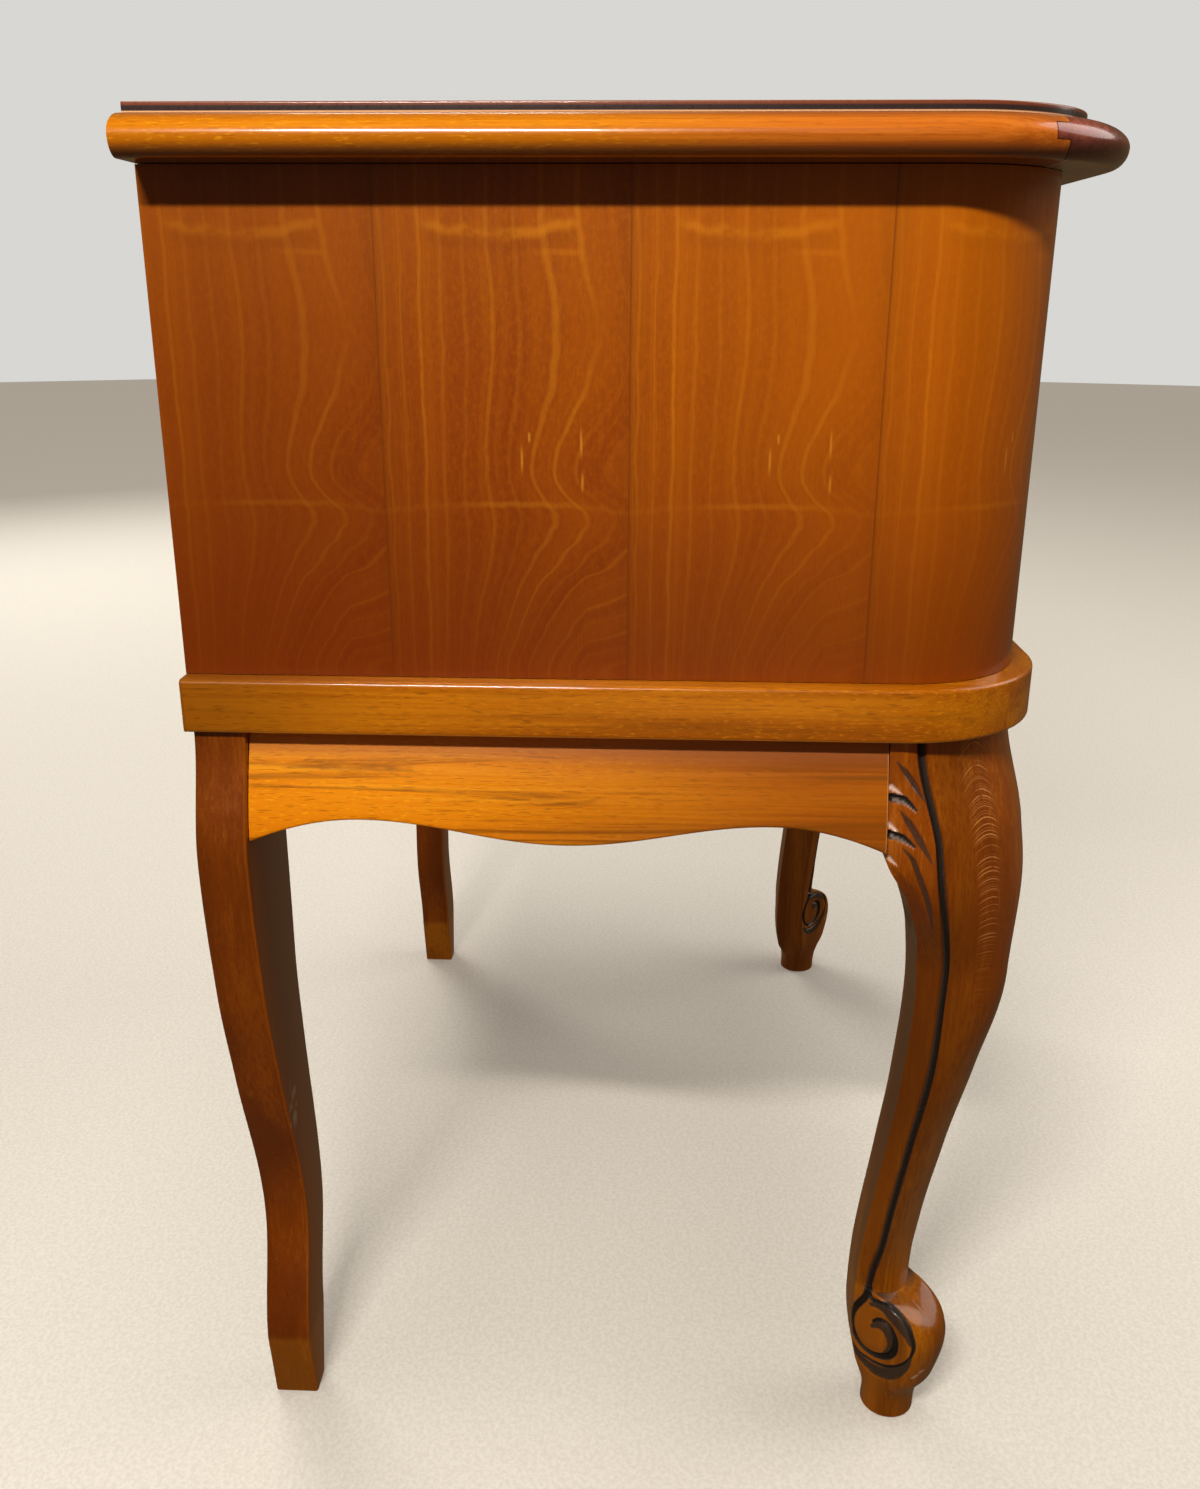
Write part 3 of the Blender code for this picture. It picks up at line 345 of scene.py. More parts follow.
def leg_half_section(z):
    """Half sections of the leg, heel to nose, one row to a height: how far out along the diagonal and how
    far across it each point lies, how deep in the flute, and each row's share of the knee. A shin plate
    with 45 degree heel faces, flat flanks, flutes and a quarter oval nose turns into a quarter disc under
    the case, and into a round pad at the floor."""
    nose = through([(0, 0.05), (SCROLL / 2, 0.05871), (0.052, 0.0634), (0.060, 0.0620), (0.066, 0.0580),
                    (0.0702, 0.0526), (0.0732, 0.0455), (SCROLL_TOP, 0.0385), (ANKLE, 0.0385),
                    (shin(0.40), 0.05015), (shin(0.68), 0.06252), (CALF, 0.0749), (KNEE, 0.0738),
                    (APRON_FOOT, 0.0683), (LEG_TOP, 0.0545)], z)
    heel = through([(0, 0.023), (0.0192, 0.0126), (SCROLL, 0.0063), (SCROLL_TOP, 0.0068),
                    (shin(0.36), 0.01634), (shin(0.60), 0.02195), (shin(0.90), 0.0255), (0.27487, 0.0232),
                    (0.30448, 0.01097), (APRON_FOOT, -0.00636), (LEG_TOP, -0.00636)], z)
    flank = through([(0, PAD_RADIUS), (SCROLL, 0.0155), (SCROLL_TOP, 0.0155), (ANKLE, 0.0155),
                     (CALF, 0.019), (KNEE, 0.0245), (LEG_TOP, 0.0575)], z)
    flute = through([(0, 0.04325), (0.052, 0.0546), (0.063, 0.0518), (0.069, 0.0462), (0.0730, 0.0375),
                     (SCROLL_TOP, 0.0297), (0.0866, 0.0311), (0.0939, 0.0329), (0.1026, 0.0350),
                     (0.1222, 0.0380), (shin(0.45), 0.04600), (shin(0.75), 0.05532), (CALF, 0.058),
                     (KNEE, 0.0595), (LEG_TOP, 0.06175)], z)
    deep = FLUTE_DEPTH * through([(0.0735, 0), (0.0765, 1)], z)
    bevel = np.linspace(0, 1, HEEL_COLUMNS, endpoint=False)
    flat = np.linspace(0, 1, FLANK_COLUMNS, endpoint=False)
    hollow = np.linspace(-1, 1, FLUTE_COLUMNS, endpoint=False)
    bow = np.linspace(0, 1, NOSE_COLUMNS)
    dip = 1 - hollow[None, :] ** 2

    lip = np.arcsin(np.clip(FLUTE_HALF / np.maximum(nose - flute, 2 * FLUTE_HALF), 0, 1))
    turn = lip + (math.pi / 2 - lip) * bow
    oval = np.sqrt(np.clip(1 - (np.clip(hollow, 0, 1) * np.sin(lip)) ** 2, 0, 1))
    plate_out = beside(heel + flank * bevel, heel + flank + (flute - FLUTE_HALF - heel - flank) * flat,
                       flute + FLUTE_HALF * hollow, flute + (nose - flute) * np.sin(turn))
    plate_across = beside(flank * bevel, flank + 0 * flat, flank * oval - deep * dip, flank * np.cos(turn))

    above = np.maximum(z, CALF)
    cut = np.radians(through([(CALF, 25), (APRON_FOOT, 28.6), (LEG_TOP, 36)], above))
    wing = through([(CALF, 0.0645), (APRON_FOOT, 0.0645), (LEG_TOP, 0.0575)], above)
    edge_out, edge_across = (wing + heel * ROOT) * ROOT, (wing - heel * ROOT) * ROOT
    edge_turn = np.arctan2(edge_across, edge_out)
    half_turn = FLUTE_HALF / nose

    def reach(angle):
        """How far the quarter disc reaches: from the nose to the wing, as the square of the angle."""
        return nose + (wing - nose) * (angle / (math.pi / 4)) ** 2

    flat_turn = edge_turn + (cut + half_turn - edge_turn) * flat
    flat_reach = reach(flat_turn) + (np.hypot(edge_out, edge_across) - reach(edge_turn)) * (1 - flat) ** 2
    hollow_turn = cut - half_turn * hollow
    bow_turn = (cut - half_turn) * (1 - bow)
    turns = beside(flat_turn, hollow_turn, bow_turn)
    reaches = beside(flat_reach, reach(hollow_turn) - deep * dip, reach(bow_turn))
    block_out = beside(heel + (edge_out - heel) * bevel, reaches * np.cos(turns))
    block_across = beside(edge_across * bevel, reaches * np.sin(turns))

    rim = math.pi * np.concatenate([1 - 0.25 * bevel, 0.75 - 0.33 * flat, 0.39 - 0.03 * hollow,
                                    0.36 - 0.36 * bow])
    swell = through([(0, 0), (CALF, 0), (APRON_FOOT, 1), (LEG_TOP, 1)], z)
    stub = through([(0, 1), (0.012, 0.75), (0.030, 0), (LEG_TOP, 0)], z)
    out = plate_out + swell * (block_out - plate_out)
    across = plate_across + swell * (block_across - plate_across)
    out = out + stub * (PAD_CENTRE + PAD_RADIUS * np.cos(rim) - out)
    across = across + stub * (PAD_RADIUS * np.sin(rim) - across)
    fluted = np.zeros_like(out)
    fluted[:, FLUTE_START:NOSE_START] = dip * deep / FLUTE_DEPTH
    return out, across, fluted, swell


PAD_ROWS, SCROLL_ROWS, SHIN_ROWS, KNEE_ROWS = 15, 112, 96, 146
PAD_END, SCROLL_END, SHIN_END = 0.0205, 0.082, 0.262
leg_heights = np.concatenate([np.linspace(0, PAD_END, PAD_ROWS, endpoint=False),
                              np.linspace(PAD_END, SCROLL_END, SCROLL_ROWS, endpoint=False),
                              np.linspace(SCROLL_END, SHIN_END, SHIN_ROWS, endpoint=False),
                              np.linspace(SHIN_END, LEG_TOP, KNEE_ROWS)])[:, None]
out, across, fluted, swell = leg_half_section(leg_heights)

# The ball's upper edge dips towards the nose, with a darker band along the crease.
NOSE_DIP = 0.0032
nose_share = np.clip(np.arange(out.shape[1]) - NOSE_START, 0, None)[None, :] / (NOSE_COLUMNS - 1)
sink = through([(0, 0), (0.056, 0), (0.0735, 1), (0.080, 1), (0.100, 0), (LEG_TOP, 0)], leg_heights)
tall = leg_heights - NOSE_DIP * sink * nose_share ** 1.5
crease = through([(0, 0), (0.0732, 0), (0.0740, 1), (0.0747, 1), (0.0752, 0), (LEG_TOP, 0)], leg_heights)
creased = through([(0, 0), (0.04, 0), (0.14, 1), (0.50, 0.8), (0.85, 0.45), (1, 0)], nose_share)
stain = np.maximum(np.clip(1.25 * fluted - 0.2, 0, 1), 0.46 * crease * creased)

# The cuts, each as knots, half widths and depths in millimetres. Knots on the scroll are (out, height), and
# on the knee (degrees of turn from the nose, height). The lists then say how each cut is used: on the scroll
# by how much it widens and its shares of depth and stain, on the knee by its shares of stain and of pale
# colour, which there is a painted highlight on the facets and on the lips of the notches.
FLUTE_END = (30.0, 77.2)
COIL = ([FLUTE_END, (28.5, 69.3), (24.7, 62.4), (22.0, 56.1), (21.5, 50.0), (22.9, 44.5), (25.8, 40.0),
         (29.6, 37.4), (34.0, 37.0), (38.9, 38.2), (43.6, 41.2), (46.7, 45.2), (48.0, 49.6), (47.9, 54.0),
         (46.5, 57.7), (44.1, 60.5), (40.9, 61.5), (37.6, 60.6), (34.8, 58.0)],
        (2.2, 2.3, 2.2, 1.8, 1.6, 1.9, 2.3, 2.6, 2.5, 2.0, 1.6, 1.2),
        (2.0, 2.0, 1.8, 1.6, 1.6, 2.0, 2.5, 2.7, 2.6, 2.2, 1.8, 0.9))
BROW_CUT = ([FLUTE_END, (31.4, 71.2), (34.6, 70.5), (38.5, 71.5), (44.0, 71.7), (49.9, 69.7), (54.5, 64.8),
             (57.5, 58.8), (58.2, 54.3), (57.4, 49.9)],
            (2.2, 1.8, 1.5, 1.5, 1.4, 1.3, 1.1, 0.7), (2.0, 1.7, 1.6, 1.6, 1.5, 1.4, 1.2, 0.4))
CHIN_CUT = ([(22.5, 37.1), (26.7, 33.4), (31.9, 32.5), (38.1, 33.1), (44.2, 35.2), (49.9, 39.5), (54.3, 44.6),
             (56.9, 49.3)], (0.5, 0.9, 1.1, 1.1, 0.9, 0.6), (0.4, 1.0, 1.2, 1.1, 0.8, 0.3))
CRESCENT = ([(21.6, 36.8), (25.9, 31.6), (30.9, 28.6), (37.6, 27.8), (45.2, 31.0), (50.8, 36.4), (55.0, 43.2),
             (57.5, 49.1)],
            (1.0, 2.4, 3.4, 4.3, 4.3, 3.8, 2.7, 0.8), (0.2, 0.7, 1.1, 1.3, 1.2, 1.0, 0.6, 0.1))
OUTER_BANK = ([(32.1, 67.0), (36.3, 69.1), (41.1, 69.5), (46.2, 67.3), (50.9, 64.9), (54.8, 61.6),
               (57.0, 57.2)], (1.0, 2.0, 2.8, 3.5, 3.1, 2.2, 1.0), (0, 0))
INNER_BANK = ([(34.1, 54.7), (37.3, 57.5), (41.0, 57.8), (43.6, 55.5), (45.2, 51.5), (44.7, 46.7),
               (41.2, 41.0)], (1.2, 2.0, 2.3, 2.3, 2.0, 1.5, 0.6), (0, 0))
SCROLL_CUTS = ((COIL, 1.0, 1.0, 1.0), (BROW_CUT, 1.0, 1.0, 1.0), (CHIN_CUT, 1.0, 1.0, 1.0),
               (CRESCENT, 1.0, 1.0, 0.54), (OUTER_BANK, 1.2, 0.0, 0.48), (INNER_BANK, 1.2, 0.0, 0.48),
               (COIL, 2.8, 0.34, 0.0), (BROW_CUT, 3.2, 0.34, 0.0))
SCROLL_NICKS = (([(57.8, 35.2), (59.0, 36.8)], (0.7, 0.7)), ([(60.0, 38.5), (60.6, 39.6)], (0.6, 0.6)))
LEAF_CUTS = (
    ([(46.4, 369.0), (40.5, 361.8), (34.6, 352.1)], (0.4, 1.7, 1.8, 0.3), (0.2, 1.1, 1.1, 0.2)),
    ([(44.5, 348.9), (38.8, 340.1), (31.0, 324.8)], (0.4, 1.8, 1.9, 0.3), (0.2, 1.2, 1.2, 0.2)),
    ([(42.9, 332.8), (38.8, 327.5), (35.4, 318.3), (31.1, 306.3), (26.7, 291.8)],
     (0.4, 1.3, 1.4, 1.3, 0.3), (0.2, 1.0, 1.1, 0.9, 0.2)))
NOTCHES = (([(48.2, 354.1), (42.7, 353.0), (37.6, 348.6)], (2.0, 1.8, 0.3), (2.4, 2.0, 0.3)),
           ([(48.2, 338.7), (43.1, 337.1), (38.0, 333.3)], (2.0, 1.8, 0.3), (2.4, 2.0, 0.3)))
# Pale marks painted as highlights: the lips under the notches, and the small facets beside them.
NOTCH_LIP_GLINTS = (([(47.0, 352.9), (42.8, 351.7), (38.2, 347.9)], (0.6, 0.6, 0.2), (0, 0)),
        ([(47.2, 337.5), (43.2, 335.8), (38.6, 332.6)], (0.6, 0.6, 0.2), (0, 0)))
KNEE_GLINT_FACETS = (([(48.4, 358.6), (46.0, 357.0), (43.8, 355.4)], (1.5, 1.0, 0.2), (1.4, 0.9, 0.1)),
         ([(48.4, 343.0), (46.4, 341.2), (44.6, 339.8)], (1.4, 0.9, 0.2), (1.4, 0.9, 0.1)),
         ([(47.6, 328.2), (46.0, 326.4), (44.4, 324.8)], (1.1, 0.8, 0.2), (1.2, 0.8, 0.1)))
SCOOPS = (([(45.7, 322.4), (39.6, 311.1), (33.6, 298.5), (27.9, 285.3), (23.8, 270.0)],
           (1.6, 4.0, 4.2, 3.6, 1.5), (0.4, 1.4, 1.4, 0.9, 0.0)),)
KNEE_CUTS = ((LEAF_CUTS, 0.40, 0), (NOTCHES, 0.92, 0), (NOTCH_LIP_GLINTS, 0, 0.26), (KNEE_GLINT_FACETS, 0, 0.85), (SCOOPS, 0.09, 0))


PATH_STEPS = 110


def wound(knots):
    """A curve through knots: on each span a cubic whose slopes run between the knots on both sides."""
    knots = np.array(knots, float)
    padded = np.concatenate([2 * knots[:1] - knots[1:2], knots, 2 * knots[-1:] - knots[-2:-1]])
    run = np.linspace(0, len(knots) - 1, PATH_STEPS)
    span = np.minimum(run.astype(int), len(knots) - 2)
    t = (run - span)[:, None]
    a, b, c, d = (padded[span + k] for k in range(4))
    return 0.5 * (2 * b + (c - a) * t + (2 * a - 5 * b + 4 * c - d) * t ** 2
                  + (3 * b - a - 3 * c + d) * t ** 3)


def gouge(spots, knots, half_widths, depths=(0, 0), wide=1.0):
    """How deep a gouge run along a curve cuts at each spot, and how near each spot lies to the curve, 1 on
    it and 0 at the hollow's edge. The depth is a power of one less the square of the distance, where the
    hollow's half width is one. Width and depth change along the curve."""
    path = wound(knots)
    share = np.linspace(0, 1, len(path))
    half = wide * np.interp(share, np.linspace(0, 1, len(half_widths)), half_widths)
    deep = np.interp(share, np.linspace(0, 1, len(depths)), depths)
    near = np.clip(1 - np.linalg.norm(spots[:, None, :] - path[None, :, :], axis=2) / half, 0, 1)
    return np.max(deep * (near * (2 - near)) ** 1.3, axis=1), np.max(near, axis=1)


MM = 1000
KNEE_ROUND, HEEL_LIMIT = 0.062, 0.004
CUT_START, SCROLL_STOP, KNEE_STOP, FLAT_COLUMN = 8, 110, 70, 30
scroll_rows = slice(PAD_ROWS, PAD_ROWS + SCROLL_ROWS)
scroll_part = (scroll_rows, slice(CUT_START, SCROLL_STOP))
knee_part = (slice(-KNEE_ROWS, None), slice(CUT_START, KNEE_STOP))
flatness = across[scroll_part] / across[scroll_rows, FLAT_COLUMN, None]
knee_girth = np.arctan2(across, out) * KNEE_ROUND
inward_out = -swell * out / np.hypot(out, across)
inward_across = -(1 - swell) - swell * across / np.hypot(out, across)


def carve(scale, edge, full):
    """One half of the leg with its cuts sunk into it, as (out, across, stain, pale mark), where the pale mark
    is chips on the scroll and painted highlights on the knee: each cut presses the surface in along its own
    direction. The scroll is drawn to a scale about the flute's end, and its cuts run out where the flank
    rounds off, between two shares of its width."""
    depth = np.zeros_like(out)
    chip = np.zeros_like(out)
    dark = stain.copy()
    on_flank = np.clip((flatness - edge) / (full - edge), 0, 1)
    spots = np.stack([out, tall], axis=-1)[scroll_part].reshape(-1, 2) * MM
    spots = FLUTE_END + (spots - FLUTE_END) / scale
    for (knots, half_widths, depths), wide, deep_share, dark_share in SCROLL_CUTS:
        cut, near = gouge(spots, knots, half_widths, np.array(depths) * deep_share, wide)
        near = np.clip(near.reshape(on_flank.shape) * 2.4, 0, 1) * on_flank
        depth[scroll_part] = np.maximum(depth[scroll_part], cut.reshape(on_flank.shape) * on_flank / MM)
        dark[scroll_part] = np.maximum(dark[scroll_part], dark_share * near)
    for knots, half_widths in SCROLL_NICKS:
        near = gouge(spots, knots, half_widths)[1].reshape(on_flank.shape)
        chip[scroll_part] = np.maximum(chip[scroll_part], 0.6 * np.clip(near * 2, 0, 1))
    depth = np.maximum(depth - FLUTE_DEPTH * fluted, 0)
    spots = np.stack([knee_girth, tall], axis=-1)[knee_part].reshape(-1, 2) * MM
    for cuts, dark_share, glint_share in KNEE_CUTS:
        for knots, half_widths, depths in cuts:
            on_knee = [(math.radians(turn) * KNEE_ROUND * MM, height) for turn, height in knots]
            cut, near = (found.reshape(KNEE_ROWS, -1) for found in gouge(spots, on_knee, half_widths, depths))
            near = np.clip(near * 3, 0, 1)
            depth[knee_part] = np.maximum(depth[knee_part], cut / MM)
            dark[knee_part] = np.maximum(dark[knee_part], dark_share * near)
            chip[knee_part] = np.maximum(chip[knee_part], glint_share * near)
    return out + depth * inward_out, across + depth * inward_across, dark, chip


def both_halves(outer, inner):
    """A ring from two halves: the outer one from heel to nose, then the inner one back to the heel."""
    return beside(outer, inner[:, -2:0:-1])


outer_half = carve(scale=1.0, edge=0.72, full=0.92)
inner_half = carve(scale=0.8, edge=0.925, full=0.985)
ring_out, ring_stain, ring_chip_and_glint = (both_halves(outer_half[k], inner_half[k]) for k in (0, 2, 3))
ring_across = both_halves(outer_half[1], -inner_half[1])
ring_tall = both_halves(tall, tall)
nose_girth = np.arctan2(ring_across, np.maximum(ring_out, HEEL_LIMIT)) * KNEE_ROUND


def timber(name, grain, dark, middle, light, rings=38.0, figure=0.55, fleck=0.25, pore=0.3, streak=0.0,
           coat=0.55, rough=0.3, fade=None, lipped=False):
    """Lacquered solid wood in three colours, its growth bands, fibres, streaks, pores and bright flecks all
    drawn out along the grain's axis. Rings count the bands to a metre, and figure, fleck, pore and streak
    say how strongly each shows. A fade blends it along an axis, from one place to another, into a second
    pair of colours. A lipped board's grain turns along its front and back edges."""
    wood = Finish(name, Coat_Weight=coat, Coat_Roughness=0.10, Roughness=rough, Specular_IOR_Level=0.3)
    place = wood.place()
    if lipped:
        x, y, z = wood.parts(place)
        front_edge = (CORNER_X + CORNER_Y - y - abs(x)).rise(-0.0004, 0.0004)
        ends = front_edge + y.rise(BACK - 0.00105, BACK - 0.00045)
        crossed = wood.node("ShaderNodeCombineXYZ", {}, {0: y, 1: x, 2: z})
        place = wood.node("ShaderNodeMix", {"data_type": 'VECTOR'}, {0: ends, 4: place, 5: crossed}, 1)

    def drawn(across, along):
        """Cycles to a metre on each axis, fewer along the grain."""
        return tuple(along if axis == grain else across for axis in range(3))

    bands = wood.noise(place, drawn(rings, 1.6), 3.0, 0.5, 0.35)
    fibre = wood.noise(place, drawn(620, 9), 3.0, 0.6)
    pores = wood.noise(place, drawn(1500, 140), 1.0, 0.5)
    glint = wood.noise(place, drawn(1250, 230), 2.0, 0.6)
    patch = wood.noise(place, drawn(14, 6), 2.0, 0.5)
    wood.colour = wood.blend(bands.rise(0.32, 0.68), dark, middle)
    wood.coats(((bands + (fibre - 0.5) * 0.9).rise(0.48, 0.74) * figure, light),
               (patch.rise(0.52, 0.34) * 0.35, dark), (fibre.rise(0.46, 0.30) * 0.30, dark),
               (glint.rise(0.55, 0.72) * fleck, light))
    if fade:
        axis, start, end, far_dark, far_light = fade
        faded = wood.blend((bands + (fibre - 0.5) * 0.6).rise(0.36, 0.66), far_dark, far_light)
        wood.coats((wood.parts()[axis].rise(start, end) * 0.85, faded))
    if streak:
        vein = wood.noise(place, drawn(120, 4.0), 5.0, 0.62, 1.2).rise(0.52, 0.66)
        wood.coats((vein * streak, (*dark, 0.30)))
    wood.coats((pores.rise(0.58, 0.72) * pore, (*dark, 0.35)))
    wood.fibre = fibre
    wood.feed(Roughness=fibre * 0.18 + (rough - 0.08))
    wood.bump(fibre * 0.5 + pores * 0.5, 0.12, 0.00025)
    return wood


def mark(finish, name):
    """A number that the mesh carries at each of its points."""
    return finish.node("ShaderNodeAttribute", {"attribute_name": name}, {}, "Fac")


# Dark glaze left in the cuts, pale chips on the scroll, ray flecks in arcs over the knee, and painted light:
# a painted highlight on the knee's facets and notch lips, painted shade down the nose, and painted light on
# the far flank and on the scroll's ball.
FLECK_MIDDLE = 0.0090
# Towards the foot the wood fades to yellower colours, partly painted light bounced from the floor.
leg_wood = timber("leg_cherry", 2, (124, 54, 0), (160, 78, 2), (186, 107, 10), rings=46.0,
                  fade=(2, 0.33, 0.15, (121, 63, 0), (152, 89, 8)))
glazed, chipped_and_glinting, girth = (mark(leg_wood, name) for name in ("stain", "chip", "girth"))
leg_place = leg_wood.place()
leg_z = leg_wood.parts(leg_place)[2]
grit = leg_wood.noise(leg_place, (2600, 2600, 2600), 1.0)
umber = leg_wood.blend(grit.rise(0.45, 0.75), (52, 38, 31), (86, 68, 56))
soot = leg_wood.blend(grit.rise(0.55, 0.75), (22, 16, 12), (60, 47, 38))
aside = girth - FLECK_MIDDLE
fleck = leg_wood.lines(leg_z + aside * aside * 60.0, 1120.0, 2.0).rise(0.54, 0.64)
fleck = fleck * (abs(aside) - (leg_z - 0.25) * 0.062).rise(0.0034, -0.0010) * leg_z.rise(0.235, 0.325)
fleck = fleck * leg_wood.noise(leg_place, (150, 150, 90)).rise(0.26, 0.50)
# Painted shade down the nose and its near flank; painted light on the far flank and on the scroll's ball.
painted_shade_nose = girth.rise(-0.012, 0.022) * (1 - girth.rise(0.028, 0.036) * 0.75)
painted_shade_nose = painted_shade_nose * leg_z.rise(0.12, 0.20) * (0.65 - leg_z.rise(0.28, 0.33) * 0.17)
painted_light_far_flank = abs(girth + 0.034).rise(0.024, 0.004) * leg_z.rise(0.20, 0.28)
painted_light_ball = girth.rise(0.018, 0.023) * leg_z.rise(0.078, 0.072)
leg_wood.coats((painted_shade_nose, (84, 36, 0)), (painted_light_far_flank * 0.34 + painted_light_ball * 0.36, (190, 112, 20)),
               (fleck * 0.50, (222, 152, 84)), (glazed.rise(0.08, 0.50), umber),
               (glazed.rise(0.60, 0.92), soot), (chipped_and_glinting, (226, 192, 178)))
leg_wood.feed(Roughness=glazed.rise(0.55, 0.9) * 0.30 + leg_wood.fibre * 0.18 + 0.22,
              Coat_Weight=0.55 - glazed.rise(0.6, 0.95) * 0.40)


def face_out(mesh):
    """Turns a closed mesh's faces outwards, where the volume that its triangles enclose is negative."""
    mesh.calc_loop_triangles()
    numbers = np.empty(len(mesh.loop_triangles) * 3, np.int32)
    mesh.loop_triangles.foreach_get("vertices", numbers)
    points = np.empty(len(mesh.vertices) * 3, np.float32)
    mesh.vertices.foreach_get("co", points)
    a, b, c = points.reshape(-1, 3).astype(float)[numbers.reshape(-1, 3)].transpose(1, 0, 2)
    if np.sum(a * np.cross(b, c)) < 0:
        mesh.flip_normals()


def shell(name, grid):
    """A closed mesh over a grid of points: columns run round it, rows along it, and faces close its ends."""
    rows, columns = grid.shape[:2]
    first = list(range(columns))
    last = list(range((rows - 1) * columns, rows * columns))
    mesh = bpy.data.meshes.new(name)
    mesh.from_pydata(grid.reshape(-1, 3).tolist(), [], quads(rows, columns).tolist() + [first[::-1], last])
    face_out(mesh)
    return mesh


def settle(name, mesh, finish, body, node, crease=35):
    """Smooths a mesh up to a crease angle, and hangs it on its body in place of a solid."""
    mesh.shade_smooth()
    mesh.set_sharp_from_angle(angle=math.radians(crease))
    mesh.materials.append(finish.material)
    piece = bpy.data.objects.new(name, mesh)
    bpy.context.collection.objects.link(piece)
    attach(piece, body)
    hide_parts(node)


def skin(name, grid, finish, body, node, crease=35, marks=None):
    """A piece over a grid of points, whose marks its finish reads at each point."""
    mesh = shell(name, grid)
    for label, values in (marks or {}).items():
        layer = mesh.attributes.new(label, 'FLOAT', 'POINT')
        layer.data.foreach_set("value", np.ascontiguousarray(values, np.float32).ravel())
    settle(name, mesh, finish, body, node, crease)


for side, sign in SIDES:
    grid = points(sign * (CORNER_X + (ring_out + ring_across) * ROOT),
                  CORNER_Y - (ring_out - ring_across) * ROOT, ring_tall)
    skin("carved_front_leg_" + side, grid, leg_wood, "case", "front_leg_" + side, crease=38,
         marks={"stain": ring_stain, "chip": ring_chip_and_glint, "girth": nose_girth})


# Rear legs
# Two flat S-shaped legs of solid cherry, bandsawn from 22 mm board, with their arrises eased by hand.
# They are glued and screwed up under the base board, where the side aprons end at the back.

REAR_NEAR, REAR_FAR = corners("rear_leg_right")[:, 1]
REAR_TOE, REAR_ANKLE, REAR_SHIN, REAR_CALF, REAR_KNEE = 0.040, 0.106, 0.20365, 0.25356, 0.323
SOLE_EDGE, ARRIS = 0.0006, 0.0013
TOE_ROWS, REAR_ROWS, ARRIS_STEPS = 8, 96, 5


def rounded_ring(low_x, high_x, low_y, high_y, radius, steps):
    """Rings of rectangles with quarter round corners, one row for each pair of x edges: columns go round."""
    turn = (np.linspace(0, math.pi / 2, steps) + np.arange(4)[:, None] * math.pi / 2).ravel()
    side_x, side_y = np.repeat((1, -1, -1, 1), steps), np.repeat((1, 1, -1, -1), steps)
    x = np.where(side_x > 0, high_x, low_x) - side_x * radius + radius * np.cos(turn)
    y = np.where(side_y > 0, high_y, low_y) - side_y * radius + radius * np.sin(turn)
    return x, y


rear_heights = np.concatenate([[0, SOLE_EDGE], np.linspace(SOLE_EDGE, REAR_TOE, TOE_ROWS)[1:],
                               np.linspace(REAR_TOE, LEG_TOP, REAR_ROWS)[1:]])[:, None]
rear_reach = through([(REAR_TOE, -0.0128), (REAR_ANKLE, -0.0270), (REAR_SHIN, -0.00236),
                      (REAR_CALF, 0.00996), (REAR_KNEE, 0.0170), (LEG_TOP, 0.0055)], rear_heights)
rear_width = through([(REAR_TOE, 0.032), (REAR_ANKLE, 0.032), (REAR_SHIN, 0.045), (REAR_KNEE, 0.061),
                      (LEG_TOP, 0.053)], rear_heights)
toe = rear_heights < REAR_TOE
rear_reach = np.where(toe, np.interp(rear_heights, [0, REAR_TOE], [-0.0195, -0.0128]), rear_reach)
rear_width = np.where(toe, np.interp(rear_heights, [0, REAR_TOE], [0.016, 0.032]), rear_width)

# The inner face is a little paler, with a scuff on the left leg, and the toe is painted paler where it faces
# up, as light.
SCUFF_X, SCUFF_Z = -0.250, 0.178
rear_wood = timber("rear_leg_cherry", 2, (104, 44, 0), (132, 60, 2), (156, 84, 6), rings=42.0, figure=0.45,
                   fade=(2, 0.043, 0.037, (148, 82, 4), (178, 106, 10)))
rear_place = rear_wood.place()
rear_x, rear_y, rear_z = rear_wood.parts(rear_place)
scuff_x, scuff_z = rear_x - SCUFF_X, rear_z - SCUFF_Z
scuff = (scuff_x * scuff_x * 16000 + scuff_z * scuff_z * 3600).rise(1.0, 0.2)
scuff = scuff * rear_y.rise(REAR_NEAR + 0.00105, REAR_NEAR + 0.00025)
scuff = scuff * rear_wood.noise(rear_place, (240, 240, 160), 3.0, 0.6).rise(0.50, 0.58)
inner_face = rear_y.rise(REAR_NEAR + 0.00145, REAR_NEAR + 0.00065)
rear_wood.coats((inner_face * 0.45, (166, 86, 6)), (scuff * 0.6, (204, 180, 158)))
ring_x, ring_y = rounded_ring(SIDE + rear_reach - rear_width, SIDE + rear_reach, REAR_NEAR, REAR_FAR,
                              ARRIS, ARRIS_STEPS)
for side, sign in SIDES:
    skin("sawn_rear_leg_" + side, points(sign * ring_x, ring_y, rear_heights), rear_wood, "case",
         "rear_leg_" + side, crease=30)


# Aprons and glue blocks
# Boards between the legs, in golden cherry with the grain level: the faces of the side and front ones
# swell downwards, and all are glued under the base board with blocks rubbed into the corners behind.

BASE_LOW, BASE_TOP = corners("base_board")[:, 2]
APRON_FACE, APRON_THICK = -0.0015, 0.0148
APRON_ARCH, APRON_SAG, APRON_SPRING = 0.0105, 0.0095, 0.048
APRON_FLARE, APRON_DROP, APRON_EASE = 0.0142, 0.0482, 0.0012
APRON_RUNS, EASE_STEPS, FACE_STEPS = 150, 5, 25


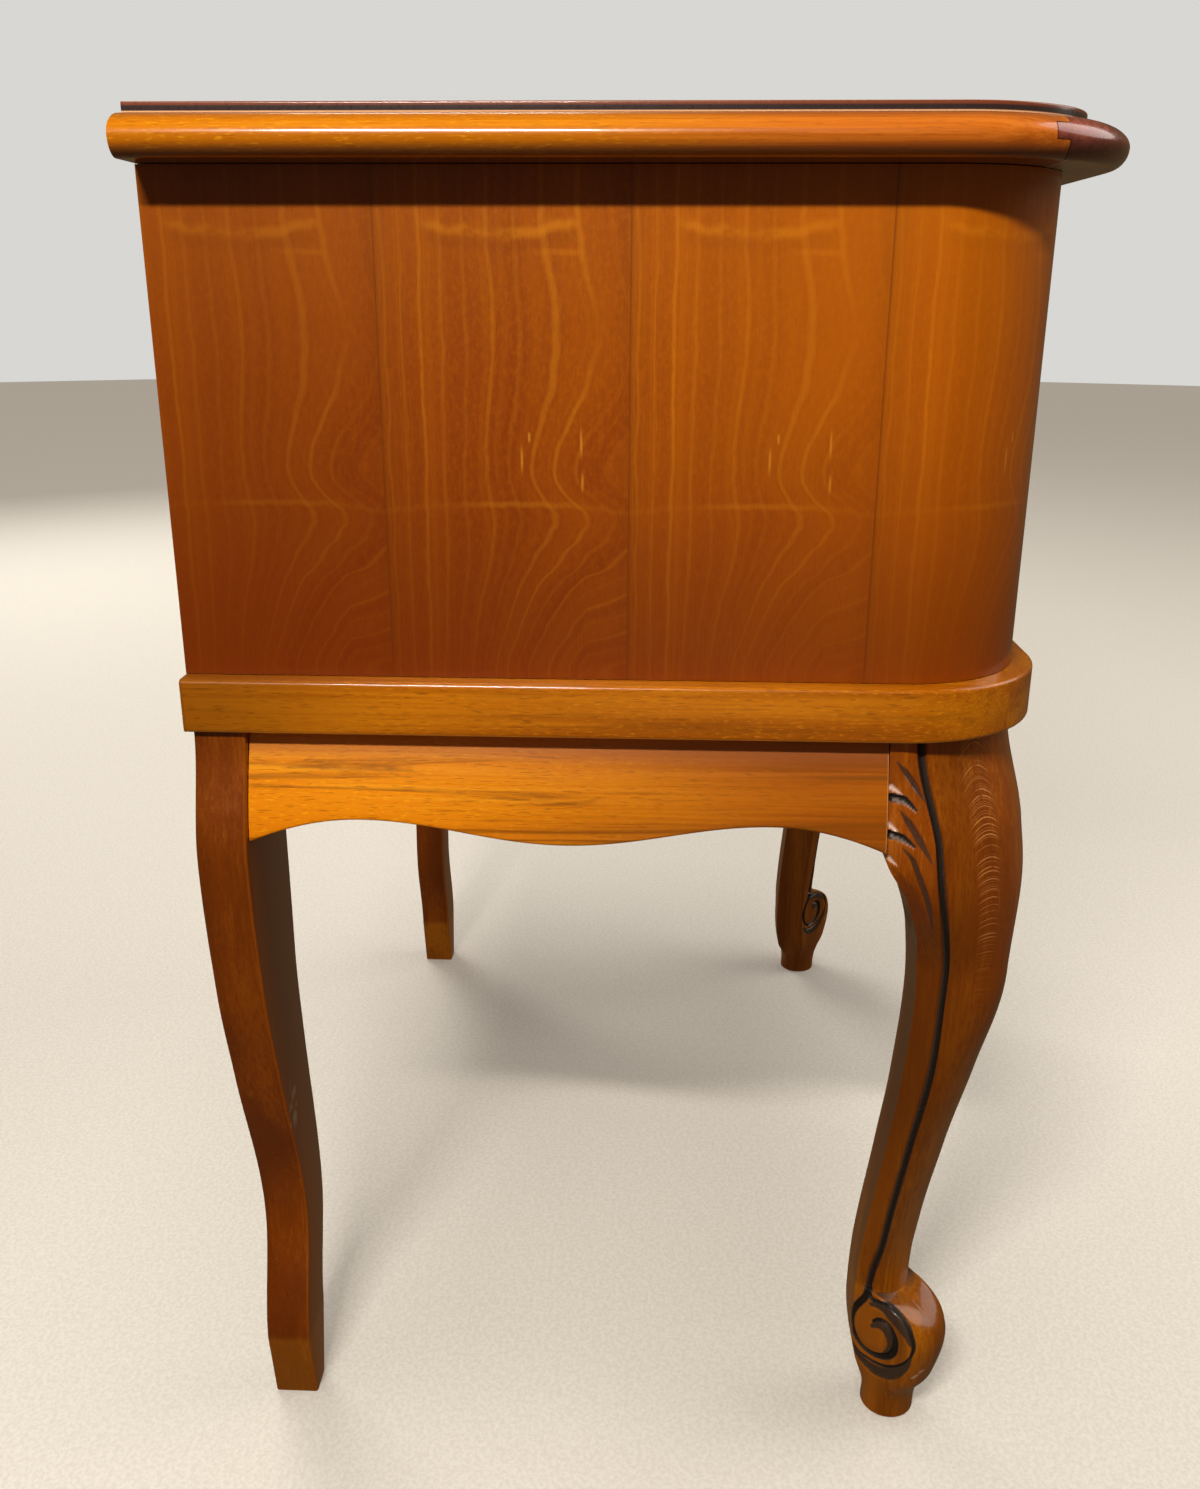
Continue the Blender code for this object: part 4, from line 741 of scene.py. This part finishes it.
def apron_grid(start, end):
    """(run, out, height) of an apron: its lower edge springs up by a parabola at each end and sags by a
    cosine between, and its face swells out by a power of the share of its drop."""
    run = np.linspace(start, end, APRON_RUNS)[:, None]
    near = np.clip(np.minimum(run - start, end - run) / APRON_SPRING, 0, 1)
    share = np.clip((run - start - APRON_SPRING) / (end - start - 2 * APRON_SPRING), 0, 1)
    low = APRON_FOOT + APRON_ARCH * (1 - (1 - near) ** 2) - APRON_SAG * (1 - np.cos(math.tau * share)) / 2
    quarter = np.linspace(0, math.pi / 2, EASE_STEPS)[None, :]
    up = np.linspace(0, 1, FACE_STEPS)[None, 1:]
    height = beside(low + APRON_EASE * (1 - np.cos(quarter)),
                    low + APRON_EASE + (LEG_TOP - low - APRON_EASE) * up)
    out = APRON_FLARE * (1 - np.maximum(0, 1 - (BASE_LOW - height) / APRON_DROP) ** 1.4)
    out[:, :EASE_STEPS] -= APRON_EASE * (1 - np.sin(quarter))
    out = beside(out, np.full((APRON_RUNS, 2), -APRON_THICK))
    height = beside(height, np.full((APRON_RUNS, 1), LEG_TOP), low)
    return run, out, height


# The side aprons are darker towards the front, with painted shade under the base board and a painted
# highlight on their front ends.
apron_start, apron_end = corners("side_apron_right")[:, 1]
apron_wood = timber("side_apron_cherry", 1, (222, 124, 0), (240, 148, 2), (252, 174, 14), rings=30.0,
                    figure=0.4, fleck=0.6, pore=0.5, streak=0.8,
                    fade=(1, 0.13, -0.09, (106, 43, 0), (154, 73, 0)))
apron_y, apron_z = apron_wood.parts()[1:]
painted_shade_under_base = apron_z.rise(BASE_LOW - 0.0150, BASE_LOW - 0.0070)
painted_glint_front_end = apron_y.rise(apron_start + 0.00055, apron_start + 0.00015)
apron_wood.coats((painted_shade_under_base * 0.55, (150, 84, 40)), (painted_glint_front_end * 0.35, (230, 176, 120)))
run, out, height = apron_grid(apron_start, apron_end)
for side, sign in SIDES:
    skin("swelled_side_apron_" + side, points(sign * (SIDE + APRON_FACE + out), run, height), apron_wood,
         "case", "side_apron_" + side)
front_apron_wood = timber("front_apron_cherry", 0, (190, 96, 0), (222, 126, 2), (240, 156, 16), rings=30.0,
                          fleck=0.45, pore=0.45, streak=0.5)
run, out, height = apron_grid(*corners("front_apron")[:, 0])
skin("swelled_front_apron", points(run, FRONT - APRON_FACE - out, height), front_apron_wood,
     "case", "front_apron")


def dress(finish, *nodes):
    """Gives a finish to pieces that keep their own shape."""
    for node in nodes:
        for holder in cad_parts[node].material_slots:
            holder.material = finish.material


back_apron_wood = timber("back_apron_cherry", 0, (112, 48, 0), (142, 66, 2), (166, 90, 6), rings=34.0)
dress(back_apron_wood, "back_apron")
block_wood = timber("block_softwood", 2, (168, 124, 74), (196, 156, 104), (214, 180, 130), rings=70.0,
                    coat=0.0, rough=0.62)
for side, sign in SIDES:
    dress(block_wood, "glue_block_rear_" + side, "glue_block_front_" + side)


# Base board
# The board under the case, in golden cherry, 23 mm thick. It stands proud of the case on three sides, its
# edges are eased with a round-over cutter, and the legs and aprons are fixed up into it.

BASE_PROUD, BASE_EASE = 0.0095, 0.0018
CORNER_STEPS, SIDE_STEPS, EDGE_STEPS = 30, 9, 7


def case_rings(profile, corner=CORNER_ROUND, front=FRONT):
    """Rings of the case's plan, seen from above, one for each offset and height of a profile: flush at the
    back, quarter rounds at the front corners, and the sides cut into short runs."""
    offset, height = np.array(profile, float)[:, :, None]
    reach, radius = SIDE + offset, corner + offset
    centre_x, centre_y = SIDE - corner, front + corner
    turn = np.linspace(0, math.pi / 2, CORNER_STEPS)[None, :]
    side_y = np.linspace(BACK, centre_y, SIDE_STEPS)[None, :-1]
    left_x, left_y = -centre_x - radius * np.cos(turn), centre_y - radius * np.sin(turn)
    x = beside(-reach + 0 * side_y, left_x, -left_x[:, ::-1], reach + 0 * side_y)
    y = beside(side_y + 0 * reach, left_y, left_y[:, ::-1], side_y[:, ::-1] + 0 * reach)
    return points(x, y, height)


quarter = np.linspace(0, math.pi / 2, EDGE_STEPS)
cut_in, cut_up = BASE_EASE * (1 - np.sin(quarter)), BASE_EASE * (1 - np.cos(quarter))
base_profile = beside((BASE_PROUD - cut_in, BASE_LOW + cut_up), (BASE_PROUD - cut_up, BASE_TOP - cut_in))
base_wood = timber("base_cherry", 1, (158, 82, 0), (194, 110, 2), (220, 140, 14), rings=60.0, figure=0.4,
                   fleck=0.6, pore=0.45, streak=0.25, lipped=True,
                   fade=(1, 0.08, 0.19, (112, 57, 0), (144, 80, 2)))
# A painted highlight runs along the eased lower arris.
painted_glint_lower_arris = base_wood.parts()[2].rise(BASE_LOW + 0.0012, BASE_LOW + 0.0005)
base_wood.coats((painted_glint_lower_arris * 0.6, (240, 176, 80)))
skin("eased_base_board", case_rings(base_profile), base_wood, "case", "base_board")


# Case boards
# The hidden boards of the case: side panels, rounded corner posts and a thin back let into a rebate.
# They are plain pale sheet and softwood, glued up before the veneer goes on.

SOFTWOOD = ((150, 108, 66), (178, 138, 92), (198, 162, 116))
case_wood = timber("case_softwood", 2, *SOFTWOOD, rings=55.0, coat=0.0, rough=0.6)
dress(case_wood, "back_panel")
for side, sign in SIDES:
    dress(case_wood, "side_panel_" + side, "corner_post_" + side)


# Side veneers
# Leaves of sliced cherry, four and a strip to a side, slip-matched so that the same figure repeats, with dark
# glue lines between them. They are pressed on the panels, wrapped round the front corners and lacquered.

OPEN_HALF = corners("side_veneer_right")[0, 0]
CASE_LOW, CASE_HIGH = corners("side_veneer_right")[:, 2]
VENEER, LEAF, FIRST_LEAF = 0.0008, 0.0977, 0.088
WRAP_STEPS, PANEL_STEPS = 33, 13


def wrapped(inset):
    """Plan of the veneer's face, moved in by an inset: straight along the side, a quarter round at the
    corner, straight along the front; and how far along the veneer each point lies."""
    turn = np.linspace(0, math.pi / 2, WRAP_STEPS)
    side_y = np.linspace(BACK, CORNER_Y, PANEL_STEPS)[:-1]
    radius = CORNER_ROUND - inset
    straight = BACK - CORNER_Y
    x = np.concatenate([np.full_like(side_y, SIDE - inset), CORNER_X + radius * np.cos(turn), [OPEN_HALF]])
    y = np.concatenate([side_y, CORNER_Y - radius * np.sin(turn), [FRONT + inset]])
    along = np.concatenate([BACK - side_y, straight + CORNER_ROUND * turn,
                            [straight + CORNER_ROUND * math.pi / 2 + CORNER_X - OPEN_HALF]])
    return x, y, along


# Each point's place on its leaf, in millimetres from the leaf's seam and from its foot.
TALL = (CASE_HIGH - CASE_LOW) * MM
veneer_wood = Finish("leaf_cherry", Coat_Weight=0.6, Coat_Roughness=0.07, Specular_IOR_Level=0.3)
veneer_place = veneer_wood.place()
lay = mark(veneer_wood, "along")
leaf = (lay + (LEAF - FIRST_LEAF)) / LEAF
share = veneer_wood.maths('FRACT', leaf)
run = share * (LEAF * MM)
height = (veneer_wood.parts(veneer_place)[2] - CASE_LOW) * MM
on_leaf = veneer_wood.node("ShaderNodeCombineXYZ", {}, {0: run, 1: height, 2: 3.7})


def leaf_noise(across, along, detail=2.0, rough=0.5):
    """Noise that repeats from leaf to leaf; the scales count cycles to a millimetre."""
    return veneer_wood.noise(on_leaf, (across, along, 1), detail, rough)


# The figure: growth lines that run up the leaf, bowed sideways by a bend that changes with the height and
# grows towards the leaf's far side, and spaced wider there by a logarithm. Bend is (height, shift).
BEND = ((0, -124), (7, -119), (17, -85), (26, -62), (43, -24), (55, -6), (62, 1), (66, 3), (71, 0), (80, -12),
        (88, -14.5), (100, -8), (112, 0), (128, 5.5), (145, 6), (160, 2), (175, 0), (TALL, -0.6))
BEND_LOW, BEND_SPAN = -130, 140
stops = [(z / TALL, (shift - BEND_LOW) / BEND_SPAN) for z, shift in BEND]
bend = veneer_wood.node("ShaderNodeValToRGB", {"stops": stops}, {0: height / TALL}) * BEND_SPAN + BEND_LOW
sway = (leaf_noise(0.02, 0.012, 1.0) - 0.5) * (share * 9) + (leaf_noise(0.06, 0.035) - 0.5) * 4.5
held = veneer_wood.maths('MINIMUM', run / 78, 1.04)
ring = veneer_wood.maths('LOGARITHM', (run - bend * held ** 3 + sway) / 70 + 1, math.e) / 0.088
apart = abs(veneer_wood.maths('FRACT', ring) - 0.5)
bold = veneer_wood.lines(veneer_wood.maths('FLOOR', ring), 3.7, 0.0).rise(0.35, 0.65)
pale = apart.rise(0.15, 0.01) * (bold * 0.22 + 0.16)
pale = pale * (1 - share.rise(0.78, 0.92) * height.rise(55, 70))
broad = veneer_wood.lines(ring, 0.55, 2.0)
thin = veneer_wood.lines(ring, 2.6, 1.0).rise(0.56, 0.70)
hair = veneer_wood.lines(run, 0.8, 1.0).rise(0.54, 0.66) * run.rise(36.0, 3.0)
fibre = leaf_noise(2.4, 0.045)
pores = leaf_noise(3.6, 0.22, 1.0)
mottle = leaf_noise(0.60, 0.32, 4.0, 0.7)
glow = veneer_wood.noise(veneer_place, (7, 7, 9), 2.0)

# Marks across the grain: a pale brow with a shadow under it and a spur beside it near the top, a pale line
# across the middle, and short pale dashes on all leaves but the first.
brow = height - 174 - (run - 46) * (run - 46) * 0.0044 + (leaf_noise(0.09, 0.0) - 0.5) * 7
crest = run.rise(15, 24) * run.rise(80, 74)
shadow = abs(brow + 4.5).rise(4.5, 0.5) * crest
ridge = abs(brow).rise(3.2, 0.2) * crest * leaf_noise(0.10, 0.16).rise(0.24, 0.54)
spur = abs(height - 169 + run * 0.03).rise(1.8, 0.2) * run.rise(56, 70) * run.rise(80, 76)
cross = height - 72.5 + (share - 0.5) * (share - 0.5) * 14 + (leaf_noise(0.12, 0.0) - 0.5) * 3
cross = abs(cross).rise(1.9, 0.2) * (abs(share - 0.56).rise(0.30, 0.10) * 0.20 + 0.12)
dashes = []
for streak, low, high in ((55.5, 83, 97), (58.5, 96, 101), (79.5, 76, 86), (79.0, 89, 104)):
    dash = abs(run - streak).rise(0.7, 0.2) * abs(height - (low + high) / 2).rise((high - low) / 2, 1.0)
    dashes.append((dash * leaf.rise(0.99, 1.01) * 0.6, (236, 160, 48)))
seam = run.rise(1.3, 0.2) * 0.7 + run.rise(12.0, 0.0) * 0.26 + run.rise(90.0, 97.7) * 0.20

veneer_wood.colour = veneer_wood.blend(broad.rise(0.30, 0.70), (142, 60, 0), (162, 77, 0))
veneer_wood.coats(
    (mottle.rise(0.42, 0.66) * 0.36, (184, 94, 0)), (thin * 0.16, (192, 104, 4)),
    (pale, (216, 132, 22)), (hair * 0.20, (206, 120, 16)),
    (fibre.rise(0.5, 0.75) * 0.28, (128, 50, 0)), (shadow * 0.22, (104, 40, 0)),
    (ridge * 0.42 + spur * 0.20, (224, 140, 24)), (cross, (222, 138, 22)), *dashes,
    (pores.rise(0.60, 0.74) * 0.32, (100, 36, 0)), (glow.rise(0.40, 0.66) * 0.20, (186, 98, 2)),
    # Painted light and shade: darker towards the back and the foot, lighter towards the front and the top.
    (lay.rise(0.20, 0.02) * 0.60, (112, 44, 0)), (lay.rise(0.16, 0.33) * 0.44, (202, 106, 4)),
    (height.rise(130, 0) * 0.68, (108, 37, 0)), (height.rise(110, 185) * 0.12, (212, 124, 8)),
    (seam * 0.62, (92, 38, 2)))
veneer_wood.feed(Roughness=fibre * 0.16 + 0.22)
veneer_wood.bump(pores * 0.6 + fibre * 0.4, 0.06, 0.0002)

plan_x, plan_y, along = (np.concatenate([face, glue[::-1]])
                         for face, glue in zip(wrapped(0.0), wrapped(VENEER)))
for side, sign in SIDES:
    grid = points(sign * plan_x, plan_y, np.array([[CASE_LOW], [CASE_HIGH]]))
    skin("matched_side_veneer_" + side, grid, veneer_wood, "case", "side_veneer_" + side,
         crease=30, marks={"along": np.stack([along, along])})


# Front rails, runners, kickers and stops
# Three cherry-faced rails cross the front between the corner posts; behind them plain hardwood runners carry
# the drawers, kickers keep them level as they open, and small stops set the fronts flush.

LEVELS = ("upper", "lower")
rail_wood = timber("rail_cherry", 0, (140, 60, 0), (166, 80, 2), (190, 108, 12), rings=60.0)
dress(rail_wood, "front_rail_lower", "front_rail_middle", "front_rail_upper")
runner_wood = timber("runner_hardwood", 1, (170, 130, 86), (198, 160, 112), (216, 184, 138), rings=60.0,
                     coat=0.0, rough=0.55)
for side, sign in SIDES:
    dress(runner_wood, "kicker_" + side)
    for level in LEVELS:
        dress(runner_wood, "runner_%s_%s" % (level, side), "drawer_stop_%s_%s" % (level, side))


# Drawers
# Two dovetailed boxes of pale hardwood, 10 mm thick, with a thin bottom slid into grooves, behind solid
# fronts of lacquered cherry whose edges are chamfered.

BOX_WOOD = ((186, 146, 98), (210, 174, 126), (226, 196, 152))
front_wood = timber("drawer_front_cherry", 0, (142, 60, 0), (164, 78, 2), (190, 108, 12), rings=34.0)
box_wood = timber("drawer_box_hardwood", 1, *BOX_WOOD, rings=52.0, coat=0.1, rough=0.5)
cross_wood = timber("drawer_back_hardwood", 0, *BOX_WOOD, rings=52.0, coat=0.1, rough=0.5)
for level in LEVELS:
    dress(front_wood, level + "_drawer_front")
    dress(box_wood, level + "_drawer_side_left", level + "_drawer_side_right")
    dress(cross_wood, level + "_drawer_back", level + "_drawer_bottom")


# Pulls
# Cast and turned brass, a little tarnished: two round-headed posts bolted through each drawer front with
# nuts inside, and a bail that hangs between them and swings up to the hand.

def middle(node):
    """The middle of the box that one of the frame's solids fills."""
    return corners(node).mean(axis=0)


PULL_HALF = middle("upper_pull_post_right")[0]
PULL_PIVOT = middle("upper_pull_bail")[1]
PIN, BAIL_HALF_THICK, BAIL_HALF, BAIL_HIGH, BAIL_DEEP = 0.0014, 0.0026, 0.050, 0.005, 0.022
PIN_IN, PIN_OUT, ELBOW = 0.0345, 0.0455, 0.0486
POST_NECK, POST_HEAD = 0.0032, 0.0055
BAIL_STEPS, BAIL_ROUND, POST_ROUND, HEAD_STEPS = 40, 16, 32, 14
brass = Finish("aged_brass", Metallic=1.0)
brass_place = brass.place()
cloud = brass.noise(brass_place, (60, 60, 60), 4.0, 0.6)
scratch = brass.noise(brass_place, (90, 900, 900), 2.0)
brass.feed(Base_Color=brass.blend(cloud.rise(0.38, 0.62), (150, 112, 52), (206, 170, 96)),
           Roughness=cloud * 0.3 + scratch * 0.1 + 0.12)
brass.bump(scratch, 0.05, 0.0001)


def turned(profile, x, z):
    """A turned piece on a level axis: a profile of (depth, radius) pairs carried round the axis."""
    depth, radius = np.array(profile, float).T[:, :, None]
    turn = np.linspace(0, math.tau, POST_ROUND, endpoint=False)[None, :]
    return points(x + radius * np.cos(turn), depth, z + radius * np.sin(turn))


def bail_grid(z):
    """A bail: a round bar carried along a path that leaves the posts level, turns down and hangs in a
    flattened bow, powers of a cosine and a sine, thin at its pins and thickest in the middle."""
    bow = np.linspace(0, math.pi / 2, BAIL_STEPS)[1:]
    half_x = np.concatenate([[PIN_IN, PIN_OUT, ELBOW], BAIL_HALF * np.cos(bow) ** 0.7])
    half_z = np.concatenate([[0, 0, -PIN], -BAIL_HIGH - BAIL_DEEP * np.sin(bow) ** 1.3])
    path_x, path_z = np.concatenate([-half_x, half_x[-2::-1]]), np.concatenate([half_z, half_z[-2::-1]])
    share = np.clip((np.arange(len(half_x)) - 1) / (len(half_x) - 2), 0, 1)
    half_thick = PIN + (BAIL_HALF_THICK - PIN) * share
    thick = np.concatenate([half_thick, half_thick[-2::-1]])[:, None]
    ahead_x, ahead_z = np.gradient(path_x), np.gradient(path_z)
    length = np.hypot(ahead_x, ahead_z)
    turn = np.linspace(0, math.tau, BAIL_ROUND, endpoint=False)[None, :]
    lift = thick * np.cos(turn)
    return points(path_x[:, None] - lift * (ahead_z / length)[:, None], PULL_PIVOT + thick * np.sin(turn),
                  z + path_z[:, None] + lift * (ahead_x / length)[:, None])


# A post's shank and flange, as (depth from the drawer's face, radius), then its round head on the pivot.
SHANK = ((0.0238, 0.0019), (0.0240, 0.002), (-0.0003, 0.002), (-0.0003, 0.0080), (-0.00045, 0.0085),
         (-0.0012, 0.0085), (-0.0017, 0.0078), (-0.0021, 0.0045), (-0.00275, 0.0034))
ball_turns = np.linspace(math.asin(POST_NECK / POST_HEAD), math.pi * 0.97, HEAD_STEPS)
post_profile = [(FRONT + depth, radius) for depth, radius in SHANK]
post_profile += [(PULL_PIVOT + POST_HEAD * math.cos(t), POST_HEAD * math.sin(t)) for t in ball_turns]
for level in LEVELS:
    pull_z = middle(level + "_pull_post_right")[2]
    for side, sign in SIDES:
        skin("turned_%s_post_%s" % (level, side), turned(post_profile, sign * PULL_HALF, pull_z), brass,
             level + "_drawer", "%s_pull_post_%s" % (level, side))
        dress(brass, "%s_pull_nut_%s" % (level, side))
    skin("cast_%s_bail" % level, bail_grid(pull_z), brass, level + "_bail", level + "_pull_bail",
         crease=50)


# Top
# A core board framed by three nosed rails of solid cherry, the front one tongued into the core and the side
# ones, under a raised field of lacquered sheet with a dark-stained edge. A moulding cutter shapes the rails.

TOP_UNDER, CORE_HIGH = corners("top_core")[:, 2]
TOP_HIGH = corners("top_field")[1, 2]
RAIL_INNER = corners("top_rail_right")[0, 0]
JOINT_GAP = 0.0003
RAIL_JOINT = corners("top_rail_right")[0, 1] - JOINT_GAP
TONGUE_TIP, TONGUE_HALF = corners("top_rail_front")[1, 1], 0.00275
SHOULDER, NOSE = TOP_HIGH - 0.0040, TOP_UNDER + 0.0072
NOSE_OUT, NOSE_UNDERCUT, FIELD_OUT, FIELD_EASE = 0.0245, 0.0065, 0.0079, 0.0007
TOP_CORNER, TOP_FRONT = 0.049, FRONT + 0.0025
UNDER_STEPS, OVER_STEPS, FIELD_STEPS = 9, 15, 6
BEYOND, MARGIN = 0.5, 0.02

# The nose: an undercut quarter round below, and a long quarter oval above.
under = np.linspace(0, math.pi / 2, UNDER_STEPS)
over = np.linspace(0, math.pi / 2, OVER_STEPS)[1:]
lower_nose = (NOSE_OUT - NOSE_UNDERCUT * (1 - np.sin(under)), NOSE - (NOSE - TOP_UNDER) * np.cos(under))
upper_nose = (FIELD_OUT + (NOSE_OUT - FIELD_OUT) * np.cos(over), NOSE + (SHOULDER - NOSE) * np.sin(over))
nosed = case_rings(beside(lower_nose, upper_nose), TOP_CORNER, TOP_FRONT)

# What each rail keeps of the nosed board, seen from the side: the tongue stays on the front rail, and the
# side rails keep its groove.
low, high, centre = TOP_UNDER - MARGIN, TOP_HIGH + MARGIN, (TOP_UNDER + CORE_HIGH) / 2
front_keep = [(-BEYOND, low), (RAIL_JOINT, low), (RAIL_JOINT, centre - TONGUE_HALF),
              (TONGUE_TIP, centre - TONGUE_HALF), (TONGUE_TIP, centre + TONGUE_HALF),
              (RAIL_JOINT, centre + TONGUE_HALF), (RAIL_JOINT, high), (-BEYOND, high)]
butt, floor_y, wall = RAIL_JOINT + JOINT_GAP, TONGUE_TIP + JOINT_GAP, TONGUE_HALF + JOINT_GAP
side_keep = [(butt, low), (BEYOND, low), (BEYOND, high), (butt, high), (butt, centre + wall),
             (floor_y, centre + wall), (floor_y, centre - wall), (butt, centre - wall)]


def kept_within(name, outline, start, end):
    """The nosed board cut to what lies inside a bar whose (y, z) outline runs across from start to end."""
    bar = np.stack([np.insert(np.array(outline, float), 0, x, axis=1) for x in (start, end)])
    blank, cutter = (bpy.data.objects.new(name, shell(name, grid)) for grid in (nosed, bar))
    for made in (blank, cutter):
        made.data.validate()
        bpy.context.collection.objects.link(made)
    cut = blank.modifiers.new("kept", 'BOOLEAN')
    cut.object = cutter
    cut.operation = 'INTERSECT'
    cut.solver = 'EXACT'
    kept = bpy.data.meshes.new_from_object(blank.evaluated_get(bpy.context.evaluated_depsgraph_get()))
    for made in (blank, cutter):
        bpy.data.objects.remove(made)
    face_out(kept)
    return kept


# The front rail is stained, with painted shade below its nose, and bare and greyed on its underside.
front_rail_wood = timber("top_front_rail_cherry", 0, (98, 40, 32), (136, 62, 50), (160, 86, 68), rings=44.0,
                         rough=0.26, fleck=0.1)
facing = front_rail_wood.parts(front_rail_wood.node("ShaderNodeNewGeometry", {}, {}, "Normal"))[2]
bare = facing.rise(-0.93, -0.99)
raw = front_rail_wood.blend(front_rail_wood.fibre.rise(0.35, 0.65), (146, 130, 114), (186, 170, 152))
below = front_rail_wood.parts()[2].rise(NOSE + 0.0018, NOSE - 0.0032)
front_rail_wood.coats((below * 0.65, (50, 24, 24)), (bare, raw))
front_rail_wood.feed(Coat_Weight=(1 - bare) * 0.7)
settle("nosed_front_rail", kept_within("nosed_front_rail", front_keep, -BEYOND, BEYOND), front_rail_wood,
       "case", "top_rail_front")

side_rail_wood = timber("top_side_rail_cherry", 1, (178, 96, 0), (206, 124, 4), (230, 154, 24), rings=44.0,
                        rough=0.26, figure=0.4, fleck=0.55, coat=0.8,
                        fade=(1, 0.06, -0.08, (164, 76, 14), (198, 104, 28)))
# Painted shade darkens the nose below its widest point.
below = side_rail_wood.parts()[2].rise(NOSE - 0.0014, NOSE - 0.0056)
side_rail_wood.coats((below * 0.72, (62, 36, 22)))
for side, sign in SIDES:
    name = "nosed_side_rail_" + side
    settle(name, kept_within(name, side_keep, sign * RAIL_INNER, sign * BEYOND), side_rail_wood,
           "case", "top_rail_" + side)

core_wood = timber("top_core_softwood", 0, *SOFTWOOD, rings=55.0, coat=0.0, rough=0.6)
dress(core_wood, "top_core")

# The field's edge is stained dark, with a pale line at its foot.
field_wood = timber("field_cherry", 0, (146, 64, 0), (164, 80, 2), (192, 110, 12), rings=26.0, coat=0.6,
                    rough=0.28)
field_z = field_wood.parts()[2]
edged = field_wood.blend(field_z.rise(TOP_HIGH - 0.0017, TOP_HIGH - 0.0010), (48, 36, 36), (112, 58, 36))
edged = field_wood.blend(field_z.rise(SHOULDER + 0.0010, SHOULDER + 0.0006), edged, (214, 170, 128))
field_wood.coats((field_z.rise(TOP_HIGH - 0.0001, TOP_HIGH - 0.0003), edged))
quarter = np.linspace(0, math.pi / 2, FIELD_STEPS)
lip, rest = RAIL_INNER - SIDE + JOINT_GAP, SHOULDER + JOINT_GAP
field_foot = ((lip, lip, FIELD_OUT), (CORE_HIGH + JOINT_GAP, rest, rest))
field_edge = (FIELD_OUT - FIELD_EASE * (1 - np.cos(quarter)), TOP_HIGH - FIELD_EASE * (1 - np.sin(quarter)))
skin("raised_field", case_rings(beside(field_foot, field_edge), TOP_CORNER, TOP_FRONT), field_wood, "case",
     "top_field", crease=50)


# Sizes
# The box that the finished pieces fill.

low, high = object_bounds()
